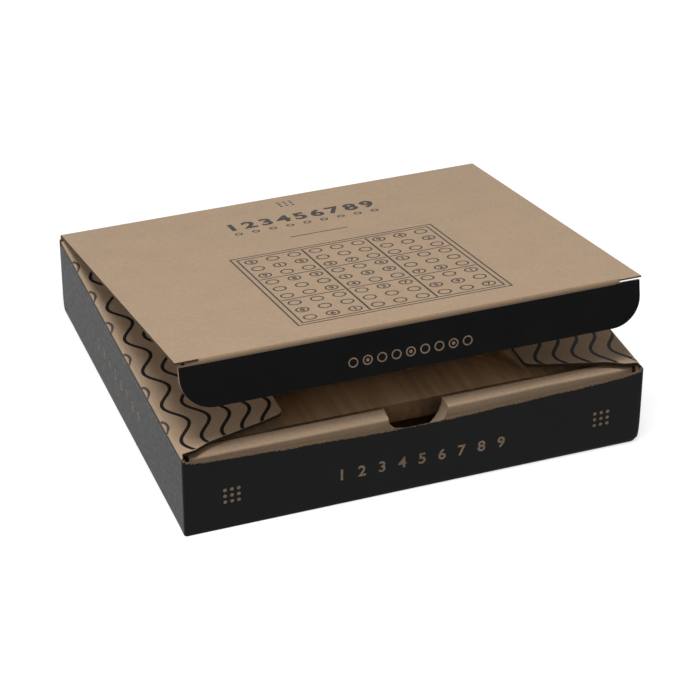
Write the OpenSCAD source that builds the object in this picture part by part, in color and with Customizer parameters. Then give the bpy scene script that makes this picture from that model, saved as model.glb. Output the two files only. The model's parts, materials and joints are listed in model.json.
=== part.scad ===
// Wooden sudoku board in a tuck-top gift carton, with its lid ajar.
// Millimetres, +Z up, origin at the centre of the carton's underside, front towards -Y.

/* [Carton] */
// Outside width of the carton, left to right
carton_w = 216; // [200:1:260]
// Outside depth of the carton, front to back
carton_d = 202; // [190:1:240]
// Height from the table to the underside of the closed lid
carton_h = 40; // [36:0.5:60]
// Thickness of the micro-flute card
card_t = 1.5; // [1:0.1:2]
// Room left at a crease so that a panel can turn
crease_gap = 0.3; // [0.2:0.05:0.5]
// Width of the glued tab at each corner
tab_w = 18; // [10:1:30]
// Height of the glued tab at each corner
tab_h = 13; // [8:1:15]

/* [Front wall] */
// How far the middle of the front wall stays below the lid
front_drop = 5.4; // [4:0.1:8]
// How far the ends of the front wall stay below the lid
front_end_drop = 1.8; // [1.5:0.1:3]
// Length of the slope at each end of the front wall's top edge
front_slope_w = 34; // [20:1:50]
// Depth of the shallow thumb dip in the front wall's top edge
thumb_dip = 1.1; // [0.5:0.1:2]

/* [Front insert] */
// Width of the slot behind the front wall that takes the tuck flap
tuck_slot = 4.3; // [4.1:0.1:6]
// How far the insert's ledge stays below the lid
ledge_drop = 2.7; // [2.5:0.1:4]
// Depth of the ledge, front to back
ledge_d = 7.1; // [6:0.1:10]
// Height of the lip that is folded down from the ledge's inner edge
lip_h = 6.5; // [4:0.1:6.8]
// Width of the thumb notch at the ledge
thumb_w = 28; // [20:1:40]
// Depth of the thumb notch below the ledge
thumb_depth = 8.6; // [8.5:0.1:12]

/* [Dust flaps] */
// Width of a dust flap, from its crease to its free edge
flap_w = 50.8; // [35:0.1:60]
// How far a dust flap's front edge runs back over its width
flap_front_run = 14; // [12:0.1:22]
// Gap from the back of the carton to a dust flap at its crease
flap_back_gap = 4; // [3:0.1:8]
// How far a dust flap's back edge runs forward over its width
flap_back_run = 18.3; // [16:0.1:26]
// Angle at which a dust flap stands up from level
flap_raise = 3; // [0:0.5:6]

/* [Lid] */
// Angle at which the lid stands open
lid_ajar = 12.2; // [9:0.1:60]
// How far each side of the lid stays inside the carton's side
lid_side_gap = 1; // [0.2:0.1:3]
// Gap from the lid's hinge line to the lid's back edge
hinge_gap = 0.5; // [0.4:0.1:1]
// Gap from the front wall to the tuck flap at the fold, with the lid closed
tuck_front_gap = 1.3; // [1:0.1:2]
// Gap from a side wall to the tuck flap's end
tuck_side_gap = 0.4; // [0.3:0.1:3]
// Height of the tuck flap
tuck_h = 22.5; // [16:0.1:24]
// Radius of the tuck flap's lower corners
tuck_corner_r = 15.5; // [5:0.1:15.9]
// Angle at which the tuck flap leans in from square to the lid
tuck_lean = 1.5; // [1:0.1:2.5]

/* [Number discs] */
// Diameter of a number disc
disc_d = 10.6; // [9:0.1:12]
// Thickness of a number disc
disc_t = 4.6; // [3:0.1:4.8]
// Chamfer round both edges of a number disc
disc_chamfer = 0.5; // [0.1:0.05:0.8]
// Running room round a number disc in its recess
disc_clear = 0.3; // [0.2:0.05:0.6]
// Wood left between neighbouring recesses
cell_wall = 1.5; // [1:0.1:3]
// Depth of a recess in the grid plate
recess_depth = 4; // [3:0.1:5]
// Gap between spare discs in a trough
spare_gap = 0.7; // [0.5:0.1:1.5]

/* [Wooden board] */
// Gap from a side wall to the board
board_side_gap = 4.5; // [2:0.1:8]
// Gap from the insert's lip to the board
board_front_gap = 5.6; // [2:0.1:8]
// Gap from the back wall to the board
board_back_gap = 4; // [2:0.1:8]
// Height from the board's top face to the closed lid
board_headroom = 6; // [5.5:0.1:10]
// Thickness of the grid plate and of the trough frames
plate_t = 10; // [8:0.1:12]
// Chamfer along the board's outer top edges
plate_chamfer = 0.8; // [0.2:0.1:1.5]
// How far the plates stand out past the base below them
plate_overhang = 7; // [3:0.1:9]
// Plain margin of the grid plate beside the recesses
field_margin = 5; // [3:0.1:8]
// Room round the spare discs in a trough
trough_clear = 0.6; // [0.3:0.1:2]
// Thickness of the panel under the plates
tray_t = 3; // [2:0.1:4]
// Thickness of the base's bottom panel
bottom_t = 3; // [2:0.1:4]
// Width of the base's rails
rail_w = 12; // [9:0.5:16]
// Diameter of the dowels that join the rails
dowel_d = 6; // [4:0.5:8]
// Length of a dowel
dowel_l = 28; // [20:1:40]

/* [Hidden] */
$fn = 64;

kraft = "#b09880";
printed_black = "#242424";
pale_wood = "#d2b48c";
warm_wood = "#c8a06e";
disc_wood = "#e3c79c";

// One overrun serves all cuts.
overrun = 1;

// Carton, worked out from its outside sizes.
inner_w = carton_w - 2 * card_t;
front_y = -carton_d / 2;
back_y = carton_d / 2;
wall_h = carton_h - 2 * card_t - crease_gap;
insert_y = front_y + card_t + tuck_slot;
ledge_z = carton_h - ledge_drop;
lip_y = insert_y + ledge_d;
front_top = carton_h - front_drop;
thumb_r = (thumb_w * thumb_w / 4 + thumb_depth * thumb_depth) / (2 * thumb_depth);

// Lid, measured from its hinge line along the lid.
lid_fold = carton_d - card_t - tuck_front_gap;
tuck_w = inner_w - 2 * tuck_side_gap;

// Recess field and spare discs.
cells = 9;
block = 3;
last_cell = cells * cells - 1;
recess_d = disc_d + 2 * disc_clear;
cell_pitch = recess_d + cell_wall;
field_w = cells * cell_pitch;
spare_pitch = disc_d + spare_gap;
most_spare_columns = 2;
most_spare_rows = 13;

// Board, from the carton that it fits in.
board_w = inner_w - 2 * board_side_gap;
board_front = lip_y + board_front_gap;
board_back = back_y - card_t - board_back_gap;
board_d = board_back - board_front;
board_mid = (board_front + board_back) / 2;
board_top = carton_h - board_headroom;
plate_z = board_top - plate_t;
tray_z = plate_z - tray_t;
rail_z = card_t + bottom_t;
rail_h = tray_z - rail_z;
base_w = board_w - 2 * plate_overhang;
base_d = board_d - 2 * plate_overhang;
grid_plate_w = field_w + 2 * field_margin;
frame_w = (board_w - grid_plate_w) / 2;
dowel_z = rail_z + rail_h / 2;

// Troughs: as many columns and rows of spare discs as the panel under the plates carries, in layers if need be.
spare_room_w = frame_w - plate_overhang - 2 * trough_clear;
spare_room_l = base_d - 2 * trough_clear;
spare_columns = min(most_spare_columns, floor(spare_room_w / spare_pitch));
spare_rows = min(most_spare_rows, floor(spare_room_l / spare_pitch));
spares_per_layer = spare_columns * spare_rows;
spares_per_trough = spares_per_layer * ceil(spares_before(cells + 1) / (2 * spares_per_layer));
trough_w = spare_columns * spare_pitch + 2 * trough_clear;
trough_l = spare_rows * spare_pitch + 2 * trough_clear;

// The solved grid, and the cells whose discs are already in place: the same seen from either side.
function solved(row, col) = (block * (row % block) + floor(row / block) + col) % cells + 1;
function half_turn_index(row, col) = min(cells * row + col, last_cell - cells * row - col);
function is_given(i) = (4 * i * i + i) % 8 < 3;
function given_cells(number) = [
    for (row = [0 : cells - 1], col = [0 : cells - 1])
        if (solved(row, col) == number && is_given(half_turn_index(row, col))) [row, col]
];
function spare_count(number) = cells - len(given_cells(number));
function spares_before(number) = number == 1 ? 0 : spares_before(number - 1) + spare_count(number - 1);

function cell_place(row, col) = [
    (col - (cells - 1) / 2) * cell_pitch,
    board_mid - (row - (cells - 1) / 2) * cell_pitch,
    board_top - recess_depth
];
function spare_place(index) =
    let (side = index < spares_per_trough ? -1 : 1)
    let (place = index % spares_per_trough)
    let (column = place % spare_columns)
    let (row = floor(place / spare_columns) % spare_rows)
    let (layer = floor(place / spares_per_layer)) [
        side * (grid_plate_w / 2 + trough_clear + (column + 0.5) * spare_pitch),
        board_mid + (row - (spare_rows - 1) / 2) * spare_pitch,
        plate_z + layer * disc_t
    ];

// A box centred on X, from its front lower edge.
module panel(w, d, h, y = 0, z = 0) {
    translate([-w / 2, y, z])
        cube([w, d, h]);
}

// An upright sheet of card: the outline is drawn in X and Z, and its front face lies at y.
module upright_card(y) {
    translate([0, y + card_t, 0])
        rotate([90, 0, 0])
            linear_extrude(height = card_t)
                children();
}

// Cutter for a thumb notch, with its lowest point at z.
module thumb_cutter(z, y, d) {
    translate([0, y - overrun, z + thumb_r])
        rotate([-90, 0, 0])
            cylinder(r = thumb_r, h = d + 2 * overrun);
}

module base_panel() {
    color(kraft)
        panel(carton_w, carton_d, card_t, front_y);
}

module front_wall() {
    top_points = [
        [inner_w / 2, carton_h - front_end_drop],
        [inner_w / 2 - front_slope_w, front_top],
        [front_slope_w - inner_w / 2, front_top],
        [-inner_w / 2, carton_h - front_end_drop]
    ];
    color(printed_black)
        difference() {
            upright_card(front_y)
                polygon(concat([[-inner_w / 2, card_t], [inner_w / 2, card_t]], top_points));
            thumb_cutter(front_top - thumb_dip, front_y, card_t);
        }
}

module back_wall() {
    color(printed_black)
        panel(inner_w, card_t, carton_h - crease_gap - card_t, back_y - card_t, card_t);
}

module side_wall(side) {
    color(printed_black)
        translate([side * (carton_w - card_t) / 2, 0, 0])
            panel(card_t, carton_d, wall_h, front_y, card_t);
}

module left_wall() {
    side_wall(-1);
}

module right_wall() {
    side_wall(1);
}

module corner_tabs() {
    color(kraft)
        for (side = [-1, 1], y = [front_y + card_t, back_y - 2 * card_t])
            translate([side * (inner_w - tab_w) / 2, 0, 0])
                panel(tab_w, card_t, tab_h, y, card_t);
}

// One sheet folded twice: up behind the tuck slot, back along the ledge, and down again as a short lip.
module front_insert() {
    color(kraft)
        difference() {
            union() {
                panel(inner_w, card_t, ledge_z - card_t, insert_y, card_t);
                panel(inner_w, ledge_d, card_t, insert_y, ledge_z - card_t);
                panel(inner_w, card_t, lip_h + card_t, lip_y - card_t, ledge_z - card_t - lip_h);
            }
            thumb_cutter(ledge_z - thumb_depth, insert_y, ledge_d);
        }
}

// A dust flap turns on the top edge of its side wall. side is -1 on the left and 1 on the right.
module dust_flap(side) {
    color(kraft)
        translate([side * carton_w / 2, 0, carton_h])
            rotate([0, side * flap_raise, 0])
                translate([0, 0, -card_t])
                    linear_extrude(height = card_t)
                        polygon([
                            [0, insert_y],
                            [-side * flap_w, insert_y + flap_front_run],
                            [-side * flap_w, back_y - flap_back_gap - flap_back_run],
                            [0, back_y - flap_back_gap]
                        ]);
}

module left_dust_flap() {
    dust_flap(-1);
}

module right_dust_flap() {
    dust_flap(1);
}

// Places what is drawn on the closed lid, measured from its hinge line, at the angle at which the lid stands.
module on_lid() {
    translate([0, back_y, carton_h])
        rotate([-lid_ajar, 0, 0])
            children();
}

module lid_panel() {
    lid_edge = lid_fold - card_t - crease_gap;
    color(kraft)
        on_lid()
            panel(carton_w - 2 * lid_side_gap, lid_edge - hinge_gap, card_t, -lid_edge);
}

module tuck_flap() {
    color(printed_black)
        on_lid()
            translate([0, -lid_fold, card_t])
                rotate([tuck_lean, 0, 0])
                    upright_card(0)
                        difference() {
                            translate([-tuck_w / 2, -tuck_h])
                                square([tuck_w, tuck_h]);
                            for (side = [-1, 1])
                                tuck_corner(side);
                        }
}

// What is cut away outside a rounded lower corner of the tuck flap.
module tuck_corner(side) {
    centre = [side * (tuck_w / 2 - tuck_corner_r), tuck_corner_r - tuck_h];
    difference() {
        translate([side * tuck_w / 2 - (1 + side) / 2 * tuck_corner_r, -tuck_h])
            square([tuck_corner_r, tuck_corner_r]);
        translate(centre)
            circle(r = tuck_corner_r);
    }
}

// The board's full outline, with chamfered top edges.
module board_blank() {
    intersection() {
        translate([0, board_back, 0])
            rotate([90, 0, 0])
                linear_extrude(height = board_d)
                    chamfered_outline(-board_w / 2, board_w / 2);
        translate([-board_w / 2, 0, 0])
            rotate([90, 0, 90])
                linear_extrude(height = board_w)
                    chamfered_outline(board_front, board_back);
    }
}

module chamfered_outline(low, high) {
    polygon([
        [low, plate_z],
        [high, plate_z],
        [high, board_top - plate_chamfer],
        [high - plate_chamfer, board_top],
        [low + plate_chamfer, board_top],
        [low, board_top - plate_chamfer]
    ]);
}

module grid_plate() {
    color(pale_wood)
        difference() {
            intersection() {
                board_blank();
                panel(grid_plate_w, board_d, plate_t, board_front, plate_z);
            }
            for (row = [0 : cells - 1], col = [0 : cells - 1])
                translate(cell_place(row, col))
                    cylinder(d = recess_d, h = recess_depth + overrun);
        }
}

// Frame of the trough for spare discs, glued to the grid plate's side. side is -1 on the left and 1 on the right.
module trough_frame(side) {
    color(pale_wood)
        difference() {
            intersection() {
                board_blank();
                translate([side * (grid_plate_w + frame_w) / 2, 0, 0])
                    panel(frame_w, board_d, plate_t, board_front, plate_z);
            }
            translate([side * (grid_plate_w + trough_w - overrun) / 2, 0, 0])
                panel(trough_w + overrun, trough_l, plate_t + 2 * overrun, board_mid - trough_l / 2, plate_z - overrun);
        }
}

module left_trough_frame() {
    trough_frame(-1);
}

module right_trough_frame() {
    trough_frame(1);
}

module tray_panel() {
    color(warm_wood)
        panel(base_w, base_d, tray_t, board_front + plate_overhang, tray_z);
}

module base_bottom() {
    color(warm_wood)
        panel(base_w, base_d, bottom_t, board_front + plate_overhang, card_t);
}

// Places a dowel's outer end at each end of the front and back rails. turn is 0 at the front and 180 at the back.
module at_dowels(turn) {
    for (side = [-1, 1])
        translate([side * (base_w - rail_w) / 2, board_mid, dowel_z])
            rotate([0, 0, turn])
                translate([0, -base_d / 2, 0])
                    rotate([-90, 0, 0])
                        children();
}

module cross_rail(turn) {
    color(warm_wood)
        difference() {
            translate([0, board_mid, 0])
                rotate([0, 0, turn])
                    panel(base_w, rail_w, rail_h, -base_d / 2, rail_z);
            at_dowels(turn)
                translate([0, 0, -overrun])
                    cylinder(d = dowel_d, h = rail_w + 2 * overrun);
        }
}

module base_front_rail() {
    cross_rail(0);
}

module base_back_rail() {
    cross_rail(180);
}

module side_rail(side) {
    rail_l = base_d - 2 * rail_w;
    color(warm_wood)
        difference() {
            translate([side * (base_w - rail_w) / 2, 0, 0])
                panel(rail_w, rail_l, rail_h, board_mid - rail_l / 2, rail_z);
            for (turn = [0, 180])
                at_dowels(turn)
                    cylinder(d = dowel_d, h = dowel_l);
        }
}

module base_left_rail() {
    side_rail(-1);
}

module base_right_rail() {
    side_rail(1);
}

module centre_bearer() {
    color(warm_wood)
        panel(base_w - 2 * rail_w, rail_w, rail_h, board_mid - rail_w / 2, rail_z);
}

module rail_dowels() {
    color(pale_wood)
        for (turn = [0, 180])
            at_dowels(turn)
                cylinder(d = dowel_d, h = dowel_l);
}

module disc() {
    rotate_extrude()
        polygon([
            [0, 0],
            [disc_d / 2 - disc_chamfer, 0],
            [disc_d / 2, disc_chamfer],
            [disc_d / 2, disc_t - disc_chamfer],
            [disc_d / 2 - disc_chamfer, disc_t],
            [0, disc_t]
        ]);
}

// All discs of one number: those in place on the grid, and the spare ones in the troughs.
module number_discs(number) {
    color(disc_wood) {
        for (cell = given_cells(number))
            translate(cell_place(cell[0], cell[1]))
                disc();
        for (spare = [0 : spare_count(number) - 1])
            translate(spare_place(spares_before(number) + spare))
                disc();
    }
}

module number_discs_1() {
    number_discs(1);
}

module number_discs_2() {
    number_discs(2);
}

module number_discs_3() {
    number_discs(3);
}

module number_discs_4() {
    number_discs(4);
}

module number_discs_5() {
    number_discs(5);
}

module number_discs_6() {
    number_discs(6);
}

module number_discs_7() {
    number_discs(7);
}

module number_discs_8() {
    number_discs(8);
}

module number_discs_9() {
    number_discs(9);
}

base_panel();
front_wall();
back_wall();
left_wall();
right_wall();
corner_tabs();
front_insert();
left_dust_flap();
right_dust_flap();
lid_panel();
tuck_flap();
grid_plate();
left_trough_frame();
right_trough_frame();
tray_panel();
base_front_rail();
base_back_rail();
base_left_rail();
base_right_rail();
centre_bearer();
base_bottom();
rail_dowels();
number_discs_1();
number_discs_2();
number_discs_3();
number_discs_4();
number_discs_5();
number_discs_6();
number_discs_7();
number_discs_8();
number_discs_9();
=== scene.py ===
"""Looks of the sudoku board in its gift carton: folded card, print, wood and number discs.

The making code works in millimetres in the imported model's own frame, and a mesh is scaled to metres when it
becomes an object.
"""

import json
import math
import random

import bmesh
import bpy
from bpy.props import FloatProperty, FloatVectorProperty, PointerProperty
from mathutils import Euler, Matrix, Quaternion, Vector


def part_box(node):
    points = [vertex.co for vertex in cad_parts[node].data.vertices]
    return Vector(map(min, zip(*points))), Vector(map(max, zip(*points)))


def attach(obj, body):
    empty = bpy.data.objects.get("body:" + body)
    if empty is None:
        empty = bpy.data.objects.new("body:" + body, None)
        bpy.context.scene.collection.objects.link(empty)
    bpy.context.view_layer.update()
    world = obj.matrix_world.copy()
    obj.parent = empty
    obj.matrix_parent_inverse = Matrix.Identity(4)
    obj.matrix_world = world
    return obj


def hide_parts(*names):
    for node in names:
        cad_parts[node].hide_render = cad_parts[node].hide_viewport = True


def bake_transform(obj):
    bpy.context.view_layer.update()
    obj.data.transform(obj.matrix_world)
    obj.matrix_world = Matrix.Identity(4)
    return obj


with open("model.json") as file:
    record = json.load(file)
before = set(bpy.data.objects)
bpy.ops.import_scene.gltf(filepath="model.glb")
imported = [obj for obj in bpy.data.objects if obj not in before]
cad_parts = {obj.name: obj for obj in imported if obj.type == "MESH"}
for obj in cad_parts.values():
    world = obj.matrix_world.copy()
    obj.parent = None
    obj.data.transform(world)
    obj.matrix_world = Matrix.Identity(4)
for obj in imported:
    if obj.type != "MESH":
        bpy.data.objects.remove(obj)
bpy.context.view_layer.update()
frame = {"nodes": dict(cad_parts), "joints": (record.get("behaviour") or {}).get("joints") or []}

bl_info = {
    "name": "Sudoku board carton",
    "version": (1, 0, 0),
    "blender": (4, 5, 0),
    "location": "View3D > Sidebar > Carton",
    "description": "Card, print and wood looks for a sudoku board in its tuck-top carton",
    "category": "Object",
}

MM = 0.001


def span(name):
    """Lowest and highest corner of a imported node, in millimetres."""
    low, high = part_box(name)
    return Vector(low) / MM, Vector(high) / MM


def joint(name):
    """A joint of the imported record."""
    return next(found for found in frame["joints"] if found["name"] == name)


def joint_place(name):
    """A joint's place, in millimetres."""
    return Vector(joint(name)["pos_m"]) / MM


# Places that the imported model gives.
LEFT_LOW, LEFT_HIGH = span("left_wall")
INSERT_LOW, INSERT_HIGH = span("front_insert")
PLATE_LOW, PLATE_HIGH = span("grid_plate")
FLAP_LOW, FLAP_HIGH = span("left_dust_flap")
CARD = LEFT_HIGH.x - LEFT_LOW.x
HALF_W = -LEFT_LOW.x
HALF_D = LEFT_HIGH.y
WALL_TOP = LEFT_HIGH.z
HINGE = joint_place("lid_hinge")
AJAR = math.radians(-joint("lid_hinge")["range_deg"][0])
LID_TURN = Matrix.Rotation(-AJAR, 3, "X")
FOLD_ON_LID = LID_TURN.inverted() @ (joint_place("tuck_fold") - HINGE)
LID_FOLD = -FOLD_ON_LID.y
TUCK_LEAN = math.radians(joint("tuck_fold")["range_deg"][1] - 90)
FLAP_HINGE = joint_place("left_flap_fold")
FLAP_RAISE = math.atan2(FLAP_HIGH.z - FLAP_HINGE.z, FLAP_HIGH.x - FLAP_HINGE.x)
FLAP_W = math.hypot(FLAP_HIGH.z - FLAP_HINGE.z, FLAP_HIGH.x - FLAP_HINGE.x)

# Slots of a piece of card.
INK, KRAFT, CUT = range(3)

# Wear of the tuck flap's crease where its ink starts. Above the ink the same value is painted shade on the bare
# bend.
CREASE_WEAR_AND_SHADE = 0.45

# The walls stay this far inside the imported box, so that the print on them does too.
SKIN = 0.04

# Thickness of a printed film, and a jump in an outline that is too short to see.
PRINT_T = 0.035
JUMP = 0.05

# Cells along a side of the sudoku grid, and along a side of one of its blocks.
CELLS = 9
BLOCK = 3


def length(name, description, default):
    """A length property, written in millimetres and kept in metres."""
    return FloatProperty(
        name=name, description=description, default=default * MM, min=0, unit="LENGTH", precision=5)


def colour(name, description, default):
    """A colour property, in linear light."""
    return FloatVectorProperty(
        name=name, description=description, default=default, subtype="COLOR", min=0, max=1)


def degrees(name, description, default):
    """An angle property, written in degrees."""
    return FloatProperty(name=name, description=description, default=math.radians(default), unit="ROTATION")


class CardSettings(bpy.types.PropertyGroup):
    """Card that the carton is folded from."""

    kraft: colour("Kraft", "Bare card", (0.430, 0.308, 0.206))
    # The cut edge colour is darker than the card's paper partly as painted shade, for cut edges that face away
    # from the light.
    cut_edge: colour("Cut edge", "Paper that shows on a cut edge", (0.135, 0.091, 0.056))
    ink: colour("Black ink", "Ink on the walls and the tuck flap", (0.0052, 0.0053, 0.0056))
    sheen: colour("Sheen", "Colour of the black ink's gloss", (0.935, 0.945, 1.0))
    line_ink: colour("Line ink", "Ink of the fine print on bare card", (0.028, 0.024, 0.020))
    # Paler than the black ink: partly rubbed off, and partly a painted highlight on the crease.
    rubbed_ink: colour("Rubbed, highlit ink", "Ink of the waves that lie on a crease", (0.075, 0.062, 0.052))
    fold_radius: length("Fold radius", "Outer radius of a crease", 1.9)
    hinge_radius: length("Hinge radius", "Outer radius of the lid's crease", 2.4)
    corner_radius: length("Corner radius", "Outer radius of the carton's upright corners", 1.4)
    foot_radius: length("Foot radius", "Outer radius of the carton's bottom edges where they are roundest", 2.0)
    foot_corner: length("Foot corner", "How much rounder the upright corners get at the bottom", 3.2)
    flute_pitch: length("Flute pitch", "Distance from one flute of the card to the next", 3.1)


class FrontSettings(bpy.types.PropertyGroup):
    """Insert behind the front wall, with its thumb notch."""

    thumb_x: length("Thumb place", "How far the thumb notch lies to the right of the middle", 1.8)
    thumb_r: length("Thumb radius", "Radius of the thumb notch", 13.9)
    thumb_low: length("Notch bottom", "Height of the thumb notch's lowest point in the insert", 23.4)
    ledge_fold: length("Ledge fold", "Outer radius of the insert's two folds", 1.0)


class FlapSettings(bpy.types.PropertyGroup):
    """Dust flaps and the waves printed on them."""

    back_run: length("Back run", "How far a flap's back edge runs forward over its width", 18.3)
    corner: length("Corner", "Radius of a flap's free corners", 2.5)
    wave_step: length("Wave step", "Distance from one wave line to the next", 9.2)
    wave_first: length("First wave", "Distance from the crease to the middle of the first full wave line", 7.35)
    wave_length: length("Wave length", "Length of one wave", 29.1)
    wave_swing: length("Wave swing", "Swing of a wave to each side", 3.85)
    wave_stroke: length("Wave stroke", "Width of a wave line", 1.62)
    wave_crest: length("Wave crest", "Distance from the carton's front to the first crest on the left", 27.4)
    right_first: length("First wave, right", "The same as the first wave, on the right flap", 4.2)
    right_crest: length("Wave crest, right", "The same as the wave crest, on the right flap", 18.9)


class LidSettings(bpy.types.PropertyGroup):
    """Lid, tuck flap and their print."""

    slit: length("Slit", "Length of the slit at each end of the tuck flap's crease", 9.5)
    left_gap: length("Left slit gap", "How far the tuck flap's left end stays below the lid's top", 1.2)
    right_gap: length("Right slit gap", "How far the tuck flap's right end stays below the lid's top", 1.8)
    slit_wedge: length("Slit wedge", "How much narrower a slit is at its inner end", 0.5)
    ink_start: length("Ink start", "Bare strip below the crease, before the tuck flap's ink", 1.95)
    left_corner: length("Left corner", "Radius of the tuck flap's lower left corner", 15.5)
    right_corner: length("Right corner", "Radius of the tuck flap's lower right corner", 13.4)
    grid_w: length("Grid width", "Width of the printed grid", 99.4)
    grid_x: length("Grid place", "How far the print lies to the right of the middle", 3.1)
    grid_start: length("Grid start", "Distance from the lid's hinge line to the printed grid", 82)
    border_gap: length("Border gap", "Gap between the two lines of the grid's border", 2.6)
    fine_line: length("Fine line", "Width of a fine printed line", 0.76)
    block_line: length("Block line", "Width of the lines between the grid's blocks", 0.92)


class WoodSettings(bpy.types.PropertyGroup):
    """Wood of the board and of the discs."""

    plate_pale: colour("Plate, pale", "Pale wood of the plates", (0.78, 0.555, 0.33))
    plate_deep: colour("Plate, deep", "Deep grain of the plates", (0.53, 0.345, 0.18))
    base_pale: colour("Base, pale", "Pale wood of the base", (0.50, 0.32, 0.165))
    base_deep: colour("Base, deep", "Deep grain of the base", (0.30, 0.17, 0.075))
    disc_pale: colour("Disc, pale", "Pale wood of the discs", (0.71, 0.53, 0.325))
    disc_deep: colour("Disc, deep", "Deep grain of the discs", (0.50, 0.325, 0.165))
    burn: colour("Burn", "Lines and numbers burnt into the wood", (0.035, 0.018, 0.010))
    scorch: colour("Scorch", "Burnt wood where the burn is shallow", (0.16, 0.075, 0.03))
    digit_h: length("Number height", "Height of the number on a disc", 6.6)
    field_margin: length("Field margin", "Plain margin of the grid plate beside the recesses", 5)


class StageSettings(bpy.types.PropertyGroup):
    """Camera, floor and light."""

    azimuth: degrees("Azimuth", "Where the camera stands round the carton", -20.219)
    elevation: degrees("Elevation", "How high the camera stands", 32.246)
    roll: degrees("Roll", "How far the camera is turned about its own line of sight", 0.174)
    place: FloatVectorProperty(
        name="Camera place", description="Where the camera stands",
        default=(-0.36733, -1.01054, 0.69069), subtype="XYZ", unit="LENGTH")
    lens: FloatProperty(name="Lens", description="Focal length on a 36 mm wide sensor", default=139.11)
    floor: colour("Floor", "Plain floor", (0.40, 0.40, 0.40))
    floor_lift: FloatProperty(
        name="Floor lift", description="How far the floor is lifted to white where it is seen",
        default=0.72, min=0, max=1)
    sky: FloatProperty(name="Sky", description="Light that comes evenly from all sides", default=0.24, min=0)


def settings():
    """The carton's settings in the scene."""
    return bpy.context.scene.sudoku_carton


# Shader nodes


def four(rgb):
    """A colour with its alpha."""
    return (*rgb, 1.0)


def node(tree, kind, inputs=None, **options):
    """Adds a shader node. An input is a socket to link from or a constant."""
    made = tree.nodes.new("ShaderNode" + kind)
    for key, value in options.items():
        setattr(made, key, value)
    for key, value in (inputs or {}).items():
        if isinstance(value, bpy.types.NodeSocket):
            tree.links.new(value, made.inputs[key])
        else:
            made.inputs[key].default_value = value
    return made


def sums(tree, operation, *terms):
    """A Math node's result."""
    return node(tree, "Math", dict(enumerate(terms)), operation=operation).outputs[0]


def times(tree, first, second):
    """Product of two values."""
    return sums(tree, "MULTIPLY", first, second)


def plus(tree, first, second):
    """Sum of two values."""
    return sums(tree, "ADD", first, second)


def minus(tree, first, second):
    """Difference of two values."""
    return sums(tree, "SUBTRACT", first, second)


def blend_colours(tree, share, first, second, kind="MIX"):
    """A Mix node's colour."""
    return node(tree, "Mix", {0: share, 6: first, 7: second}, data_type="RGBA", blend_type=kind).outputs[2]


def shaded(tree, base, shade):
    """A colour multiplied by a shade."""
    return blend_colours(tree, 1.0, base, four(shade), "MULTIPLY")


def limits(tree, value, low, high, to_low=0.0, to_high=1.0, kind="SMOOTHSTEP"):
    """Spreads a value between two limits."""
    sockets = {"Value": value, "From Min": low, "From Max": high, "To Min": to_low, "To Max": to_high}
    return node(tree, "MapRange", sockets, interpolation_type=kind).outputs[0]


def stretched(tree, scale=(1, 1, 1), turn=0.0):
    """Object coordinates, stretched by scale and turned about the upright."""
    coordinates = node(tree, "TexCoord").outputs["Object"]
    sockets = {"Vector": coordinates, "Scale": scale, "Rotation": (0.0, 0.0, turn)}
    return node(tree, "Mapping", sockets).outputs[0]


def axes(tree, vector):
    """The three numbers of a vector."""
    return node(tree, "SeparateXYZ", {0: vector}).outputs


def toned(tree, base, value, saturation=1.0):
    """A colour with its value and saturation changed."""
    sockets = {"Color": base, "Value": value, "Saturation": saturation}
    return node(tree, "HueSaturation", sockets).outputs[0]


def cloud(tree, vector, scale, detail=2.0, roughness=0.5):
    """A noise between about 0.3 and 0.7."""
    sockets = {"Vector": vector, "Scale": scale, "Detail": detail, "Roughness": roughness}
    return node(tree, "TexNoise", sockets).outputs["Fac"]


def shared_effect(name, inputs, outputs, build):
    """A node group that several materials use. build gets its tree and its inputs, and returns its outputs."""
    tree = bpy.data.node_groups.new(name, "ShaderNodeTree")
    for label, default in inputs.items():
        kind = "NodeSocketColor" if isinstance(default, tuple) else "NodeSocketFloat"
        tree.interface.new_socket(label, in_out="INPUT", socket_type=kind).default_value = default
    for label, kind in outputs.items():
        tree.interface.new_socket(label, in_out="OUTPUT", socket_type=kind)
    given = tree.nodes.new("NodeGroupInput")
    result = tree.nodes.new("NodeGroupOutput")
    for label, socket in build(tree, given.outputs).items():
        tree.links.new(socket, result.inputs[label])
    return tree


# Shades that a colour is multiplied by. The one for open flutes is painted shade in a cut edge's hollows, and
# the one for end grain is partly the wood's own darker end grain and partly painted shade on slanted front
# faces.
DARK_FLECK, PALE_FLECK = (0.56, 0.50, 0.45), (1.35, 1.38, 1.42)
FLUTE_HOLLOW_SHADE, GLUE_SEAM, END_GRAIN_AND_CHAMFER_SHADE = (0.5, 0.45, 0.41), (0.42, 0.36, 0.32), (0.5, 0.46, 0.43)


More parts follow.
